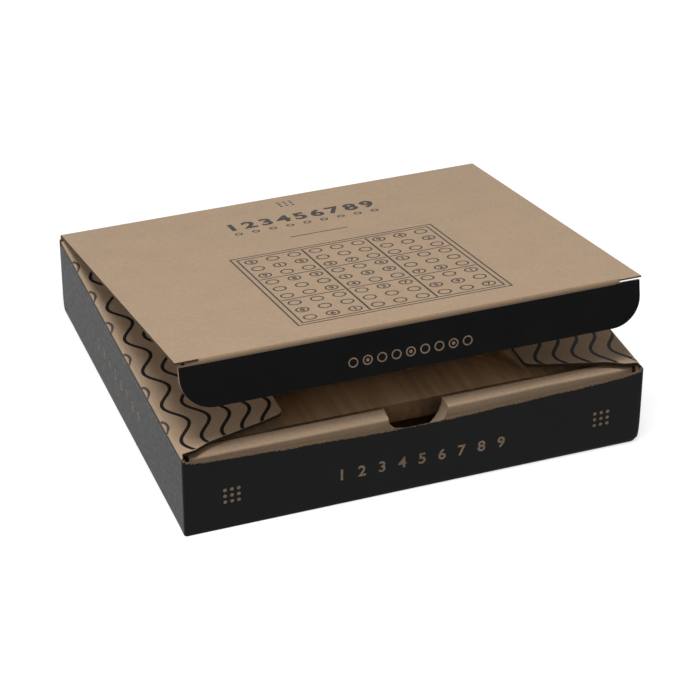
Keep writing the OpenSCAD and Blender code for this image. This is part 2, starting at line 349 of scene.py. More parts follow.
def build_fibre(tree, given):
    """Card: cloudy paper, long fibres, dark flecks and the faint ridges of the flutes."""
    mottle = cloud(tree, stretched(tree), 55.0, 3.0)
    streak_a = cloud(tree, stretched(tree, (260, 1500, 900)), 1.0, 3.0, 0.6)
    streak_b = cloud(tree, stretched(tree, (1500, 260, 900), 0.5), 1.0, 3.0, 0.6)
    fibre = plus(tree, streak_a, streak_b)
    speck = limits(tree, cloud(tree, stretched(tree, (1, 0.6, 1), 0.9), 1700.0, 1.0), 0.66, 0.74)
    light_speck = limits(tree, cloud(tree, stretched(tree, (0.6, 1, 1), 0.3), 1500.0, 1.0), 0.67, 0.76)
    cloudy = limits(tree, mottle, 0.3, 0.7, -1.0, 1.0)
    fibrous = limits(tree, fibre, 0.7, 1.3, -1.0, 1.0)
    shift = plus(tree, times(tree, cloudy, given["Mottle"]), times(tree, fibrous, given["Fibre"]))
    base = toned(tree, given["Colour"], plus(tree, shift, 1.0))
    dark, pale = shaded(tree, base, DARK_FLECK), shaded(tree, base, PALE_FLECK)
    flecked = blend_colours(tree, times(tree, speck, given["Flecks"]), base, dark)
    flecked = blend_colours(tree, times(tree, light_speck, given["Flecks"]), flecked, pale)
    place = axes(tree, node(tree, "TexCoord").outputs["Object"])
    ridge = sums(tree, "SINE", times(tree, place[1], given["Flute turns"]))
    ridges = times(tree, ridge, given["Flutes"])
    height = plus(tree, times(tree, fibre, 0.5), ridges)
    rough = limits(tree, fibre, 0.7, 1.3, given["Rough low"], given["Rough high"])
    return {"Colour": flecked, "Height": height, "Roughness": rough}


def build_wear(tree, given):
    """Where ink has rubbed off: speckled along folds and cut edges."""
    fine = cloud(tree, stretched(tree), 1100.0, 3.0, 0.65)
    broad = cloud(tree, stretched(tree), 130.0, 2.0)
    rub = plus(tree, times(tree, fine, 0.65), times(tree, broad, 0.35))
    edge = plus(tree, rub, times(tree, given["Wear"], given["Amount"]))
    return {"Mask": limits(tree, edge, 0.80, 0.90)}


def build_flutes(tree, given):
    """A cut edge of card: two liners and the wavy paper between them, from the edge's own coordinates."""
    place = axes(tree, node(tree, "UVMap", uv_map="cut").outputs[0])
    wave = sums(tree, "SINE", times(tree, place[0], given["Flute turns"]))
    middle = sums(tree, "MULTIPLY_ADD", wave, 0.30, 0.5)
    off_wave = sums(tree, "ABSOLUTE", minus(tree, place[1], middle))
    paper = limits(tree, off_wave, 0.10, 0.19, 1.0, 0.0)
    off_centre = sums(tree, "ABSOLUTE", minus(tree, place[1], 0.5))
    liner = limits(tree, off_centre, 0.33, 0.39)
    torn = cloud(tree, stretched(tree), 1400.0, 2.0)
    solid = sums(tree, "MAXIMUM", paper, liner)
    return {"Paper": times(tree, solid, limits(tree, torn, 0.25, 0.5, 0.72, 1.0))}


def build_grain(tree, given):
    """Wood along Y: glued staves with seams, growth bands, fine pores and darker end grain, the darkening
    reaching slanted front faces as painted shade.
    """
    place = axes(tree, node(tree, "TexCoord").outputs["Object"])
    even = sums(tree, "DIVIDE", place[0], given["Stave"])
    uneven = times(tree, sums(tree, "SINE", times(tree, even, 2.33)), 0.3)
    count = plus(tree, plus(tree, even, uneven), given["Seed"])
    stave = sums(tree, "FLOOR", count)
    tint = node(tree, "TexWhiteNoise", {"W": stave}, noise_dimensions="1D").outputs["Value"]
    within = sums(tree, "FRACT", count)
    off_seam = sums(tree, "MINIMUM", within, minus(tree, 1.0, within))
    seam = limits(tree, times(tree, off_seam, given["Stave"]), 0.00012, 0.00034, 1.0, 0.0)
    shifted = node(tree, "CombineXYZ", {
        0: plus(tree, place[0], times(tree, tint, 3.0)),
        1: times(tree, place[1], 0.055),
        2: plus(tree, place[2], times(tree, tint, 1.7)),
    }).outputs[0]
    bands = cloud(tree, shifted, 210.0, 4.0, 0.62)
    pores = cloud(tree, shifted, 1500.0, 2.0, 0.7)
    rings = node(tree, "TexWave", {
        "Vector": shifted, "Scale": 62.0, "Distortion": 5.5, "Detail": 3.0, "Detail Scale": 1.4,
    }, wave_type="BANDS", bands_direction="X").outputs["Fac"]
    grain = plus(tree, times(tree, rings, 0.26), limits(tree, bands, 0.28, 0.72, 0.0, 0.74))
    base = blend_colours(tree, grain, given["Pale"], given["Deep"])
    level = sums(tree, "MULTIPLY_ADD", tint, given["Stave tint"], 0.86)
    tone = toned(tree, base, level)
    pore = limits(tree, pores, 0.62, 0.78)
    glue = times(tree, seam, given["Seam"])
    tone = blend_colours(tree, times(tree, pore, 0.4), tone, given["Deep"])
    tone = blend_colours(tree, glue, tone, shaded(tree, given["Deep"], GLUE_SEAM))
    # Darker on faces that look front or back: the end grain's own tone, and painted shade on slanted faces such
    # as a front chamfer.
    facing = axes(tree, node(tree, "TexCoord").outputs["Normal"])[1]
    ends = limits(tree, sums(tree, "ABSOLUTE", facing), 0.3, 0.75)
    tone = blend_colours(tree, ends, tone, shaded(tree, tone, END_GRAIN_AND_CHAMFER_SHADE))
    height = minus(tree, minus(tree, times(tree, bands, 0.6), times(tree, pore, 0.8)), glue)
    return {"Colour": tone, "Height": height, "Roughness": limits(tree, grain, 0.1, 0.9, 0.62, 0.46)}


WHITE = (1.0, 1.0, 1.0, 1.0)
LOOKS = {"Colour": "NodeSocketColor", "Height": "NodeSocketFloat", "Roughness": "NodeSocketFloat"}

# Shared effects: inputs with their defaults, outputs, and what builds them.
EFFECTS = {
    "card fibre": ({"Colour": WHITE, "Mottle": 0.05, "Fibre": 0.06, "Flecks": 0.6, "Flutes": 0.1,
                    "Flute turns": 2000.0, "Rough low": 0.7, "Rough high": 0.85}, LOOKS, build_fibre),
    "ink wear": ({"Wear": 0.0, "Amount": 0.4}, {"Mask": "NodeSocketFloat"}, build_wear),
    "cut flutes": ({"Flute turns": 2000.0}, {"Paper": "NodeSocketFloat"}, build_flutes),
    "wood grain": ({"Pale": WHITE, "Deep": WHITE, "Stave": 0.03, "Stave tint": 0.28, "Seam": 1.0,
                    "Seed": 0.0}, LOOKS, build_grain),
}


def place_effect(tree, name, **values):
    """Puts a shared effect into a material and returns its outputs."""
    made = tree.nodes.new("ShaderNodeGroup")
    made.node_tree = bpy.data.node_groups.get(name) or shared_effect(name, *EFFECTS[name])
    for label, value in values.items():
        socket = made.inputs[label.replace("_", " ")]
        if isinstance(value, bpy.types.NodeSocket):
            tree.links.new(value, socket)
        else:
            socket.default_value = value
    return made.outputs


def finish(name, build):
    """A material, made once. build gets its tree and its Principled BSDF."""
    made = bpy.data.materials.get(name)
    if made:
        return made
    made = bpy.data.materials.new(name)
    made.use_nodes = True
    build(made.node_tree, made.node_tree.nodes["Principled BSDF"])
    return made


def connect(tree, shader, **links):
    """Links sockets to a shader's inputs."""
    for label, socket in links.items():
        tree.links.new(socket, shader.inputs[label.replace("_", " ")])


def surface(tree, shader, tone, roughness, height, gloss, relief, strength):
    """Feeds a shader its colour, roughness and relief, and sets its gloss."""
    bump = node(tree, "Bump", {"Height": height, "Distance": relief, "Strength": strength})
    connect(tree, shader, Base_Color=tone, Roughness=roughness, Normal=bump.outputs[0])
    shader.inputs["Specular IOR Level"].default_value = gloss


def flute_turns():
    """How fast the flutes follow each other, in radians per metre."""
    return 2 * math.pi / settings().card.flute_pitch


def card_looks(tree, rgb, **values):
    """Card fibre in a colour, with the flutes of this card."""
    return place_effect(tree, "card fibre", Colour=four(rgb), Flute_turns=flute_turns(), **values)


def wear_of(tree):
    """How far each point of a sheet is rubbed."""
    return node(tree, "Attribute", attribute_name="wear", attribute_type="GEOMETRY").outputs["Fac"]


def kraft_card(name="kraft card", crease=0.0):
    """Bare kraft card, with painted shade by a share where the wear value rises along a crease."""
    def build(tree, shader):
        looks = card_looks(tree, settings().card.kraft, Mottle=0.022, Fibre=0.075, Flecks=0.55, Flutes=0.16,
                           Rough_low=0.72, Rough_high=0.9)
        tone = looks["Colour"]
        # Painted shade: the bare card darkens where the wear value rises along a crease.
        if crease:
            left = limits(tree, wear_of(tree), 0.0, CREASE_WEAR_AND_SHADE, 1.0, 1.0 - crease, "LINEAR")
            tone = toned(tree, tone, left, 1.12)
        surface(tree, shader, tone, looks["Roughness"], looks["Height"], gloss=0.28, relief=0.00008,
                strength=0.5)
    return finish(name, build)


def black_card(name, gloss):
    """Card printed black, with the ink rubbed off in specks along folds and cut edges."""
    def build(tree, shader):
        card = settings().card
        paper = card_looks(tree, card.kraft, Mottle=0.05, Fibre=0.08, Flecks=0.5, Flutes=0.0)
        inked = card_looks(tree, card.ink, Mottle=0.14, Fibre=0.10, Flecks=0.35, Flutes=0.16,
                           Rough_low=0.36, Rough_high=0.48)
        rubbed = place_effect(tree, "ink wear", Wear=wear_of(tree), Amount=0.42)["Mask"]
        tone = blend_colours(tree, rubbed, inked["Colour"], paper["Colour"])
        height = minus(tree, inked["Height"], times(tree, rubbed, 0.3))
        surface(tree, shader, tone, inked["Roughness"], height, gloss=gloss, relief=0.00005, strength=0.12)
        shader.inputs["Specular Tint"].default_value = four(card.sheen)
    return finish(name, build)


def cut_card(name="cut card edge", share=1.0):
    """Cut edge of the card, with its flutes and painted shade in their open hollows, and darker by a share as
    painted shade.
    """
    def build(tree, shader):
        edge = [share * part for part in settings().card.cut_edge]
        paper = place_effect(tree, "cut flutes", Flute_turns=flute_turns())["Paper"]
        looks = card_looks(tree, edge, Mottle=0.06, Fibre=0.1, Flecks=0.6, Flutes=0.0, Rough_low=0.8,
                           Rough_high=0.95)
        # Painted shade in the open hollows between the flutes.
        tone = blend_colours(tree, paper, shaded(tree, looks["Colour"], FLUTE_HOLLOW_SHADE), looks["Colour"])
        height = plus(tree, paper, looks["Height"])
        surface(tree, shader, tone, looks["Roughness"], height, gloss=0.2, relief=0.0003, strength=0.8)
    return finish(name, build)


def printed_lines(name, rgb, gloss=0.3):
    """Ink lines on card: the fibres of the card still show in them."""
    def build(tree, shader):
        looks = card_looks(tree, rgb, Mottle=0.10, Fibre=0.22, Flecks=0.9, Flutes=0.0, Rough_low=0.55,
                           Rough_high=0.75)
        surface(tree, shader, looks["Colour"], looks["Roughness"], looks["Height"], gloss=gloss, relief=0.00005,
                strength=0.5)
    return finish(name, build)


def wood(name, pale, deep, stave, seam=1.0, tint=0.28, seed=0.0):
    """Sanded, lightly oiled wood with its grain from front to back."""
    def build(tree, shader):
        looks = place_effect(tree, "wood grain", Pale=four(pale), Deep=four(deep), Stave=stave, Seam=seam,
                             Stave_tint=tint, Seed=seed)
        surface(tree, shader, looks["Colour"], looks["Roughness"], looks["Height"], gloss=0.4, relief=0.00012,
                strength=0.6)
    return finish(name, build)


def burnt_wood():
    """Lines and numbers burnt into wood, paler where the burn is shallow."""
    def build(tree, shader):
        tone = settings().wood
        scorch = limits(tree, cloud(tree, stretched(tree, (1, 0.3, 1)), 900.0, 3.0, 0.6), 0.4, 0.68)
        edge = blend_colours(tree, times(tree, scorch, 0.5), four(tone.burn), four(tone.scorch))
        rough = limits(tree, scorch, 0.0, 1.0, 0.75, 0.9)
        surface(tree, shader, edge, rough, scorch, gloss=0.15, relief=0.0001, strength=0.6)
    return finish("burnt wood", build)


def card_finishes(black="black printed card", gloss=0.098, kraft=None, cut=None):
    """The slots of a piece of card, in the order of INK, KRAFT and CUT."""
    return [black_card(black, gloss), kraft or kraft_card(), cut or cut_card()]


# Meshes


def held(value, low=0.0, high=1.0):
    """A value kept between two limits."""
    return min(max(value, low), high)


def between(pairs, value):
    """Reads a line through pairs of numbers."""
    for (low, first), (high, last) in zip(pairs, pairs[1:]):
        if value <= high:
            return first + (last - first) * max(value - low, 0.0) / (high - low)
    return pairs[-1][1]


class FoldedLine:
    """Outer line of a folded sheet: straight legs joined by round bends, all turning the same way."""

    def __init__(self, points, radius):
        points = [Vector(point) for point in points]
        legs = [(after - before).normalized() for before, after in zip(points, points[1:])]
        self.turn = 1.0 if legs[0].x * legs[1].y > legs[0].y * legs[1].x else -1.0
        self.parts = []
        self.bends = []
        along = 0.0
        start = points[0]
        for corner, before, after in zip(points[1:], legs, legs[1:]):
            angle = before.angle(after)
            reach = radius * math.tan(angle / 2)
            stop = corner - before * reach
            along = self.add(along, (stop - start).length, start, before, 0.0)
            self.bends.append((along, along + radius * angle))
            along = self.add(along, radius * angle, stop, before, angle)
            start = corner + after * reach
        self.total = self.add(along, (points[-1] - start).length, start, legs[-1], 0.0)
        self.radius = radius

    def add(self, along, size, start, heading, angle):
        """Adds a leg, or a bend if it has an angle, and returns where it ends."""
        self.parts.append((along, along + size, start, heading, angle))
        return along + size

    def at(self, along, depth=0.0):
        """Point on the line, or depth inside it. Deeper than the bends' radius, legs meet in a sharp corner."""
        number = next((k for k, part in enumerate(self.parts) if along <= part[1]), len(self.parts) - 1)
        first, last, start, heading, angle = self.parts[number]
        inside = Vector((-heading.y, heading.x)) * self.turn
        spare = max(0.0, depth - self.radius)
        if angle == 0:
            before = spare * math.tan(self.parts[number - 1][4] / 2) if number else 0.0
            after = spare * math.tan(self.parts[number + 1][4] / 2) if number + 1 < len(self.parts) else 0.0
            run = held(along - first, before, last - first - after)
            return start + heading * run + inside * depth
        turned = angle / 2 if spare else (along - first) / self.radius
        inward = inside * math.cos(turned) - heading * math.sin(turned)
        reach = -spare / math.cos(angle / 2) if spare else self.radius - depth
        return start + inside * self.radius - inward * reach


def steps(start, stop, step, *marks):
    """Values from start to stop at most a step apart, with the marks among them."""
    fixed = sorted({round(value, 5) for value in (start, stop, *marks) if start <= value <= stop})
    values = []
    for low, high in zip(fixed, fixed[1:]):
        count = max(1, math.ceil((high - low) / step - 1e-6))
        values += [low + (high - low) * index / count for index in range(count)]
    return values + [fixed[-1]]


def bend_marks(line, count=6):
    """Where a folded line's bends are cut into short lengths."""
    return [low + (high - low) * index / count for low, high in line.bends for index in range(count + 1)]


def add_piece(name, built, finishes, smooth=35.0, outward=False):
    """Turns a bmesh in millimetres into an object in metres, with its faces turned outward."""
    bmesh.ops.remove_doubles(built, verts=built.verts, dist=1e-5)
    if not outward:
        bmesh.ops.recalc_face_normals(built, faces=built.faces)
    bmesh.ops.scale(built, vec=(MM, MM, MM), verts=built.verts)
    mesh = bpy.data.meshes.new(name)
    built.to_mesh(mesh)
    built.free()
    for made in finishes:
        mesh.materials.append(made)
    mesh.shade_smooth()
    mesh.set_sharp_from_angle(angle=math.radians(smooth))
    piece = bpy.data.objects.new(name, mesh)
    bpy.context.scene.collection.objects.link(piece)
    return piece


def dress(name, made):
    """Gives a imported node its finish."""
    mesh = frame["nodes"][name].data
    mesh.materials.clear()
    mesh.materials.append(made)


# How far a cut edge swells, and where its rings of points lie across the card.
EDGE_SWELL = 0.07
EDGE_RINGS = (0.0, 0.14, 0.86, 1.0)


def sheet_mesh(grid, place, thickness, outer, worn=None, inner=KRAFT, cut=CUT, seam=True, swell=True):
    """A closed sheet over a grid of (along, across) pairs.

    place gives the point at along, across and depth. outer gives the slot of an outer face, and worn how far a
    point of the outer face is rubbed. Where the first row joins another piece, it is a seam and stays flat.
    """
    built = bmesh.new()
    uv = built.loops.layers.uv.new("cut")
    wear = built.verts.layers.float.new("wear")
    rows, columns = len(grid), len(grid[0])

    def vertex(along, across, depth, rub=0.0):
        made = built.verts.new(place(along, across, depth))
        made[wear] = rub
        return made

    top = [[vertex(*pair, 0.0, worn(*pair) if worn else 0.0) for pair in row] for row in grid]
    under = [[vertex(*pair, thickness) for pair in row] for row in grid]
    for i in range(rows - 1):
        for j in range(columns - 1):
            corners = ((i, j), (i + 1, j), (i + 1, j + 1), (i, j + 1))
            middle = [sum(grid[a][b][axis] for a, b in corners) / len(corners) for axis in (0, 1)]
            built.faces.new([top[a][b] for a, b in corners]).material_index = outer(*middle)
            built.faces.new([under[a][b] for a, b in reversed(corners)]).material_index = inner
    border = [(0, j) for j in range(columns)] + [(i, columns - 1) for i in range(1, rows)]
    border += [(rows - 1, j) for j in range(columns - 2, -1, -1)] + [(i, 0) for i in range(rows - 2, 0, -1)]
    rings = []
    for i, j in border:
        pair = Vector(grid[i][j])
        inside = Vector(grid[held(i, 1, rows - 2)][held(j, 1, columns - 2)])
        bulge = 0.0 if not swell or seam and i == 0 else EDGE_SWELL * thickness / CARD
        out = pair + (pair - inside).normalized() * bulge
        rub = top[i][j][wear]
        rings.append([top[i][j], vertex(*out, thickness * EDGE_RINGS[1], rub),
                      vertex(*out, thickness * EDGE_RINGS[2]), under[i][j]])
    run = 0.0
    for here, after in zip(rings, rings[1:] + rings[:1]):
        stretch = (after[0].co - here[0].co).length * MM
        for k in range(len(EDGE_RINGS) - 1):
            face = built.faces.new((here[k], after[k], after[k + 1], here[k + 1]))
            face.material_index = cut
            ends = ((run, k), (run + stretch, k), (run + stretch, k + 1), (run, k + 1))
            for loop, (u, level) in zip(face.loops, ends):
                loop[uv].uv = (u, EDGE_RINGS[level])
        run += stretch
    return built


# How far ink is rubbed off where it ends along a sheet, and over what distance.
RUB_MOST, RUB_REACH = 0.5, 0.9


def bare(along, across):
    """Slot of an outer face of bare card."""
    return KRAFT


def inked_before(mark):
    """Slot of an outer face: ink before a mark along a sheet, and bare card after it."""
    return lambda along, across: INK if along < mark else KRAFT


def rubbed_near(mark):
    """How far the ink is rubbed on both sides of a mark along a sheet."""
    return lambda along, across: max(0.0, 1.0 - abs(along - mark) / RUB_REACH) * RUB_MOST


def join(pieces):
    """Several meshes as one."""
    whole = bmesh.new()
    for part in pieces:
        mesh = bpy.data.meshes.new("part")
        part.to_mesh(mesh)
        part.free()
        whole.from_mesh(mesh)
        bpy.data.meshes.remove(mesh)
    return whole


def steps_between(low, high, count):
    """Places across a sheet, closer together at both ends."""
    near = 1.0
    inner = [low + near + (high - low - 2 * near) * k / count for k in range(count + 1)]
    return [low, *inner, high]


def print_mesh(faces, place):
    """Print as a thin raised film. faces are flat outlines, and place puts a point of the print in space."""
    built = bmesh.new()
    for outline in faces:
        built.faces.new([built.verts.new((point[0], point[1], 0.0)) for point in outline])
    bmesh.ops.remove_doubles(built, verts=built.verts, dist=1e-4)
    flat = built.faces[:]
    loops = [edge.link_loops[0] for edge in built.edges if edge.is_boundary]
    rim = [(loop.vert, loop.link_loop_next.vert) for loop in loops]
    raised = {vertex: built.verts.new((vertex.co.x, vertex.co.y, PRINT_T)) for vertex in built.verts[:]}
    for face in flat:
        built.faces.new([raised[vertex] for vertex in face.verts])
        face.normal_flip()
    for start, stop in rim:
        built.faces.new((start, stop, raised[stop], raised[start]))
    for vertex in built.verts:
        vertex.co = place(*vertex.co)
    return built


def stroke(start, stop, width):
    """A straight line as one outline."""
    start, stop = Vector(start), Vector(stop)
    side = (stop - start).orthogonal().normalized() * width / 2
    return [start - side, stop - side, stop + side, start + side]


def circle_points(middle, radius, count):
    """Points round a circle."""
    angles = [2 * math.pi * index / count for index in range(count)]
    return [Vector((middle[0] + radius * math.cos(a), middle[1] + radius * math.sin(a))) for a in angles]


def ring(middle, radius, width, count=28):
    """A ring as short outlines."""
    outside = circle_points(middle, radius + width / 2, count)
    inside = circle_points(middle, radius - width / 2, count)
    return [[outside[k - 1], outside[k], inside[k], inside[k - 1]] for k in range(count)]


def frame_lines(low, high, width):
    """The four sides of a square outline, from its lowest to its highest corner."""
    (x0, y0), (x1, y1) = low, high

    def corners(grow):
        return [(x0 - grow, y0 - grow), (x1 + grow, y0 - grow), (x1 + grow, y1 + grow), (x0 - grow, y1 + grow)]

    outside, inside = corners(width / 2), corners(-width / 2)
    return [[outside[k - 1], outside[k], inside[k], inside[k - 1]] for k in range(len(outside))]


DIGITS = {}


def digit(number, middle, height, turn=0.0, heavy=0.0):
    """A number as flat outlines, in Blender's own plain type."""
    key = (number, heavy)
    if key not in DIGITS:
        curve = bpy.data.curves.new("number", "FONT")
        curve.body = str(number)
        curve.size = 1.0
        curve.offset = heavy
        curve.resolution_u = 5
        holder = bpy.data.objects.new("number", curve)
        bpy.context.scene.collection.objects.link(holder)
        mesh = bpy.data.meshes.new_from_object(holder)
        points = [vertex.co.copy() for vertex in mesh.vertices]
        low = [min(point[axis] for point in points) for axis in (0, 1)]
        high = [max(point[axis] for point in points) for axis in (0, 1)]
        centre = Vector(((low[0] + high[0]) / 2, (low[1] + high[1]) / 2))
        size = high[1] - low[1]
        flat = [(Vector(point[:2]) - centre) / size for point in points]
        DIGITS[key] = [[flat[index] for index in face.vertices] for face in mesh.polygons]
        bpy.data.objects.remove(holder)
        bpy.data.curves.remove(curve)
        bpy.data.meshes.remove(mesh)
    around = Matrix.Rotation(turn, 2)
    return [[Vector(middle) + around @ point * height for point in outline] for outline in DIGITS[key]]


def on_lid(across, back, rise):
    """A point on the lid: back is its distance from the hinge line, and rise that from the lid's underside."""
    return HINGE + LID_TURN @ Vector((across, -back, rise))


# Carton


# Front wall's top edge: distance from the middle, and height.
FRONT_TOP = (
    (0, 33.7), (22, 33.75), (36, 34.4), (50, 34.85), (62, 35.3), (75, 35.8), (90, 36.3), (99, 36.9),
    (106.5, 38.0),
)

# Press of a thumb on the inside of that edge: half its width, how it fades, and its drop for each mm of card.
THUMB_PRESS, PRESS_FADE, PRESS_DROP = 12.0, 4.0, 0.8

# Heights of the walls' tops: at a dust flap's crease, at the lid's crease, at the corners, and behind a flap.
SIDE_SEAM, BACK_SEAM, CORNER_TOP, BACK_NICK = 37.0, 37.4, 39.0, 36.0

# Half the width of the lid.
LID_HALF = 107.0

# Dust flap's front edge: distance from the crease, and from the carton's front. The tuck flap passes its nick.
FRONT_EDGE = (
    (0, 1.8), (0.5, 1.9), (1.1, 4.6), (7, 5.3), (11, 7.2), (14.5, 8.7), (19, 9.7), (25, 10.8), (33, 12.5),
    (41, 14.0), (51, 16.8),
)

# Share of the foot's radius from the left to the right, along the front and behind it, the distance over which
# one goes over into the other, and into how many steps the foot is cut.
FOOT_FRONT = ((-108, 0.12), (108, 1.0))
FOOT_BEHIND = ((-108, 0.55), (108, 1.0))
FOOT_FADE = 9.0
FOOT_STEPS = 4

# Wear of the foot at the bottom, and how much less it is from step to step.
FOOT_WEAR, FOOT_WEAR_DROP = 0.55, 0.1

# Share of the foot's corner swell at the front left, front right, back right and back left corner, the height
# over which it fades, the least radius of a corner, and into how many steps a corner is cut.
CORNER_SHARE = (0.0, 1.0, 1.0, 0.6)
SWELL_FADE = 3.5
LEAST_CORNER = 0.4
CORNER_STEPS = 6

# Heights of the wall's rings of points above the foot.
WALL_LEVELS = (2.4, 4.0, 6.5, 10.0, 16.0, 24.0)

# Rings of points over the wall's top: inset, drop below the top, wear, slot, and place across the cut edge.
RIM = (
    (0.0, 1.6, 0.10, INK, 0.5), (0.0, 0.6, 0.42, INK, 0.0), (0.0, 0.18, 0.9, CUT, 0.14),
    (0.16, 0.0, 1.0, CUT, 0.86), (CARD - 0.16, 0.0, 0.0, CUT, 1.0), (CARD, 0.18, 0.0, KRAFT, 0.5),
)

# Rings of points inside the wall and on the floor: inset and height.
INSIDE_LEVELS = ((CARD, 20.0), (CARD, CARD + 0.8), (CARD + 0.8, CARD))


class TrayPath:
    """Way round the carton's wall: points of the outline and the height of the wall's top at each."""

    def __init__(self):
        self.flap_front = FRONT_EDGE[0][1] - HALF_D
        self.flap_back = FLAP_HIGH.y
        self.front = steps(-HALF_W, HALF_W, 3.0, 1.0 - HALF_W, HALF_W - 1.0)
        ends = (self.flap_front - JUMP, self.flap_front, self.flap_back, self.flap_back + JUMP)
        self.side = steps(-HALF_D, HALF_D, 6.0, *ends)
        self.back = steps(-HALF_W, HALF_W, 6.0, -LID_HALF - JUMP, -LID_HALF, LID_HALF, LID_HALF + JUMP)

    def front_top(self, x, inset):
        """Height of the front wall's top, pressed down on the inside at the thumb notch."""
        pressed = (THUMB_PRESS - abs(x - settings().front.thumb_x / MM)) / PRESS_FADE
        return between(FRONT_TOP, abs(x)) - PRESS_DROP * inset * held(pressed)

    def side_top(self, y):
        """Height of a side wall's top: lower where a dust flap goes on from it, and behind the flap."""
        if round(y, 4) < self.flap_front:
            return CORNER_TOP
        return SIDE_SEAM if round(y, 4) <= self.flap_back else BACK_NICK

    def back_top(self, x):
        """Height of the back wall's top: lower where the lid's crease goes on from it."""
        return BACK_SEAM if abs(x) <= LID_HALF + 1e-4 else CORNER_TOP

    def ring(self, inset, z):
        """Points of the outline moved in by inset, as (x, y, top), with the corners that it has at height z."""
        card = settings().card
        half_w, half_d = HALF_W - SKIN - inset, HALF_D - SKIN - inset
        swell = card.foot_corner / MM * math.exp(-z / SWELL_FADE)
        radii = [max(LEAST_CORNER, card.corner_radius / MM + swell * share - inset) for share in CORNER_SHARE]
        front_left, front_right, back_right, back_left = radii
        points = []

        def corner(side_x, side_y, radius, start):
            x, y = side_x * (half_w - radius), side_y * (half_d - radius)
            for k in range(1, CORNER_STEPS):
                a = start + math.pi / 2 * k / CORNER_STEPS
                points.append((x + radius * math.cos(a), y + radius * math.sin(a), CORNER_TOP))

        def inside(value, half, before, after):
            return held(value, before - half, half - after)

        for x in self.front:
            points.append((inside(x, half_w, front_left, front_right), -half_d, self.front_top(x, inset)))
        corner(1, -1, front_right, -math.pi / 2)
        for y in self.side:
            points.append((half_w, inside(y, half_d, front_right, back_right), self.side_top(y)))
        corner(1, 1, back_right, 0.0)
        for x in reversed(self.back):
            points.append((inside(x, half_w, back_left, back_right), half_d, self.back_top(x)))
        corner(-1, 1, back_left, math.pi / 2)
        for y in reversed(self.side):
            points.append((-half_w, inside(y, half_d, front_left, back_left), self.side_top(y)))
        corner(-1, -1, front_left, math.pi)
        return points


def tray_mesh():
    """Base and four walls as one folded sheet: black outside, bare inside, cut along the top."""
    foot = settings().card.foot_radius / MM
    path = TrayPath()
    built = bmesh.new()
    uv = built.loops.layers.uv.new("cut")
    wear = built.verts.layers.float.new("wear")

    def added(places, rub):
        made = [built.verts.new(place) for place in places]
        for vertex in made:
            vertex[wear] = rub
        return made

    def level(inset, z, rub, drop=None):
        """One ring of points: at height z, or drop below the wall's top."""
        return added([(x, y, z if drop is None else top - drop) for x, y, top in path.ring(inset, z)], rub)

    def foot_level(a, rub):
        """One ring of points at an angle round the bottom edge."""
        places = []
        for (x, y, _), (x_in, y_in, _) in zip(path.ring(0.0, 0.0), path.ring(foot, 0.0)):
            fade = held((HALF_D + y) / FOOT_FADE)
            share = between(FOOT_FRONT, x) * (1 - fade) + between(FOOT_BEHIND, x) * fade
            move = share * (1 - math.sin(a))
            places.append((x + (x_in - x) * move, y + (y_in - y) * move, foot * share * (1 - math.cos(a))))
        return added(places, rub)

    levels = []
    for k in range(FOOT_STEPS + 1):
        levels.append((foot_level(math.pi / 2 * k / FOOT_STEPS, FOOT_WEAR - FOOT_WEAR_DROP * k), INK, 0.5))
    levels += [(level(0.0, z, 0.0), INK, 0.5) for z in WALL_LEVELS]
    levels += [(level(inset, WALL_TOP, rub, drop), slot, share) for inset, drop, rub, slot, share in RIM]
    levels += [(level(inset, z, 0.0), KRAFT, 0.5) for inset, z in INSIDE_LEVELS]
    for (lower, slot, low), (upper, _, high) in zip(levels, levels[1:]):
        run = 0.0
        for k in range(len(lower)):
            after = (k + 1) % len(lower)
            stop = run + (lower[after].co - lower[k].co).length * MM
            face = built.faces.new((lower[k], lower[after], upper[after], upper[k]))
            face.material_index = slot
            for loop, spot in zip(face.loops, ((run, low), (stop, low), (stop, high), (run, high))):
                loop[uv].uv = spot
            run = stop
    built.faces.new(list(reversed(levels[0][0]))).material_index = KRAFT
    built.faces.new(levels[-1][0]).material_index = KRAFT
    return built


class CARTON_OT_tray(bpy.types.Operator):
    """Base and walls of the carton"""

    bl_idname = "sudoku.carton_tray"
    bl_label = "Carton tray"

    def execute(self, context):
        piece = add_piece("carton_tray", tray_mesh(), card_finishes(), smooth=30.0)
        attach(piece, "carton")
        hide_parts("base_panel", "front_wall", "back_wall", "left_wall", "right_wall")
        dress("corner_tabs", kraft_card())
        return {"FINISHED"}


# Insert's lip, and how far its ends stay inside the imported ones.
LIP_H = 4.0
LEFT_END_GAP, RIGHT_END_GAP = 3.4, 1.7

# How far the insert's front fold hangs below the ledge's back: place across, and drop.
LEDGE_SAG = ((-10, 1.5), (28, 0.75), (43, 0.6), (63, 0.05), (82, 0.3))


def insert_mesh():
    """Sheet folded behind the front wall, with its ledge and lip."""
    points = [
        (INSERT_LOW.y, INSERT_LOW.z), (INSERT_LOW.y, INSERT_HIGH.z), (INSERT_HIGH.y, INSERT_HIGH.z),
        (INSERT_HIGH.y, INSERT_HIGH.z - CARD - LIP_H),
    ]
    line = FoldedLine(points, settings().front.ledge_fold / MM)
    alongs = steps(0.0, line.total, 8.0, *bend_marks(line, 8), line.total - 1.0)
    first, last = INSERT_LOW.x + LEFT_END_GAP, INSERT_HIGH.x - RIGHT_END_GAP
    acrosses = steps(first, last, 12.0, first + 1.0, last - 1.0)
    grid = [[(along, across) for across in acrosses] for along in alongs]

    def place(along, across, depth):
        y, z = line.at(along, depth)
        return Vector((across, y, z))

    return sheet_mesh(grid, place, CARD, bare)


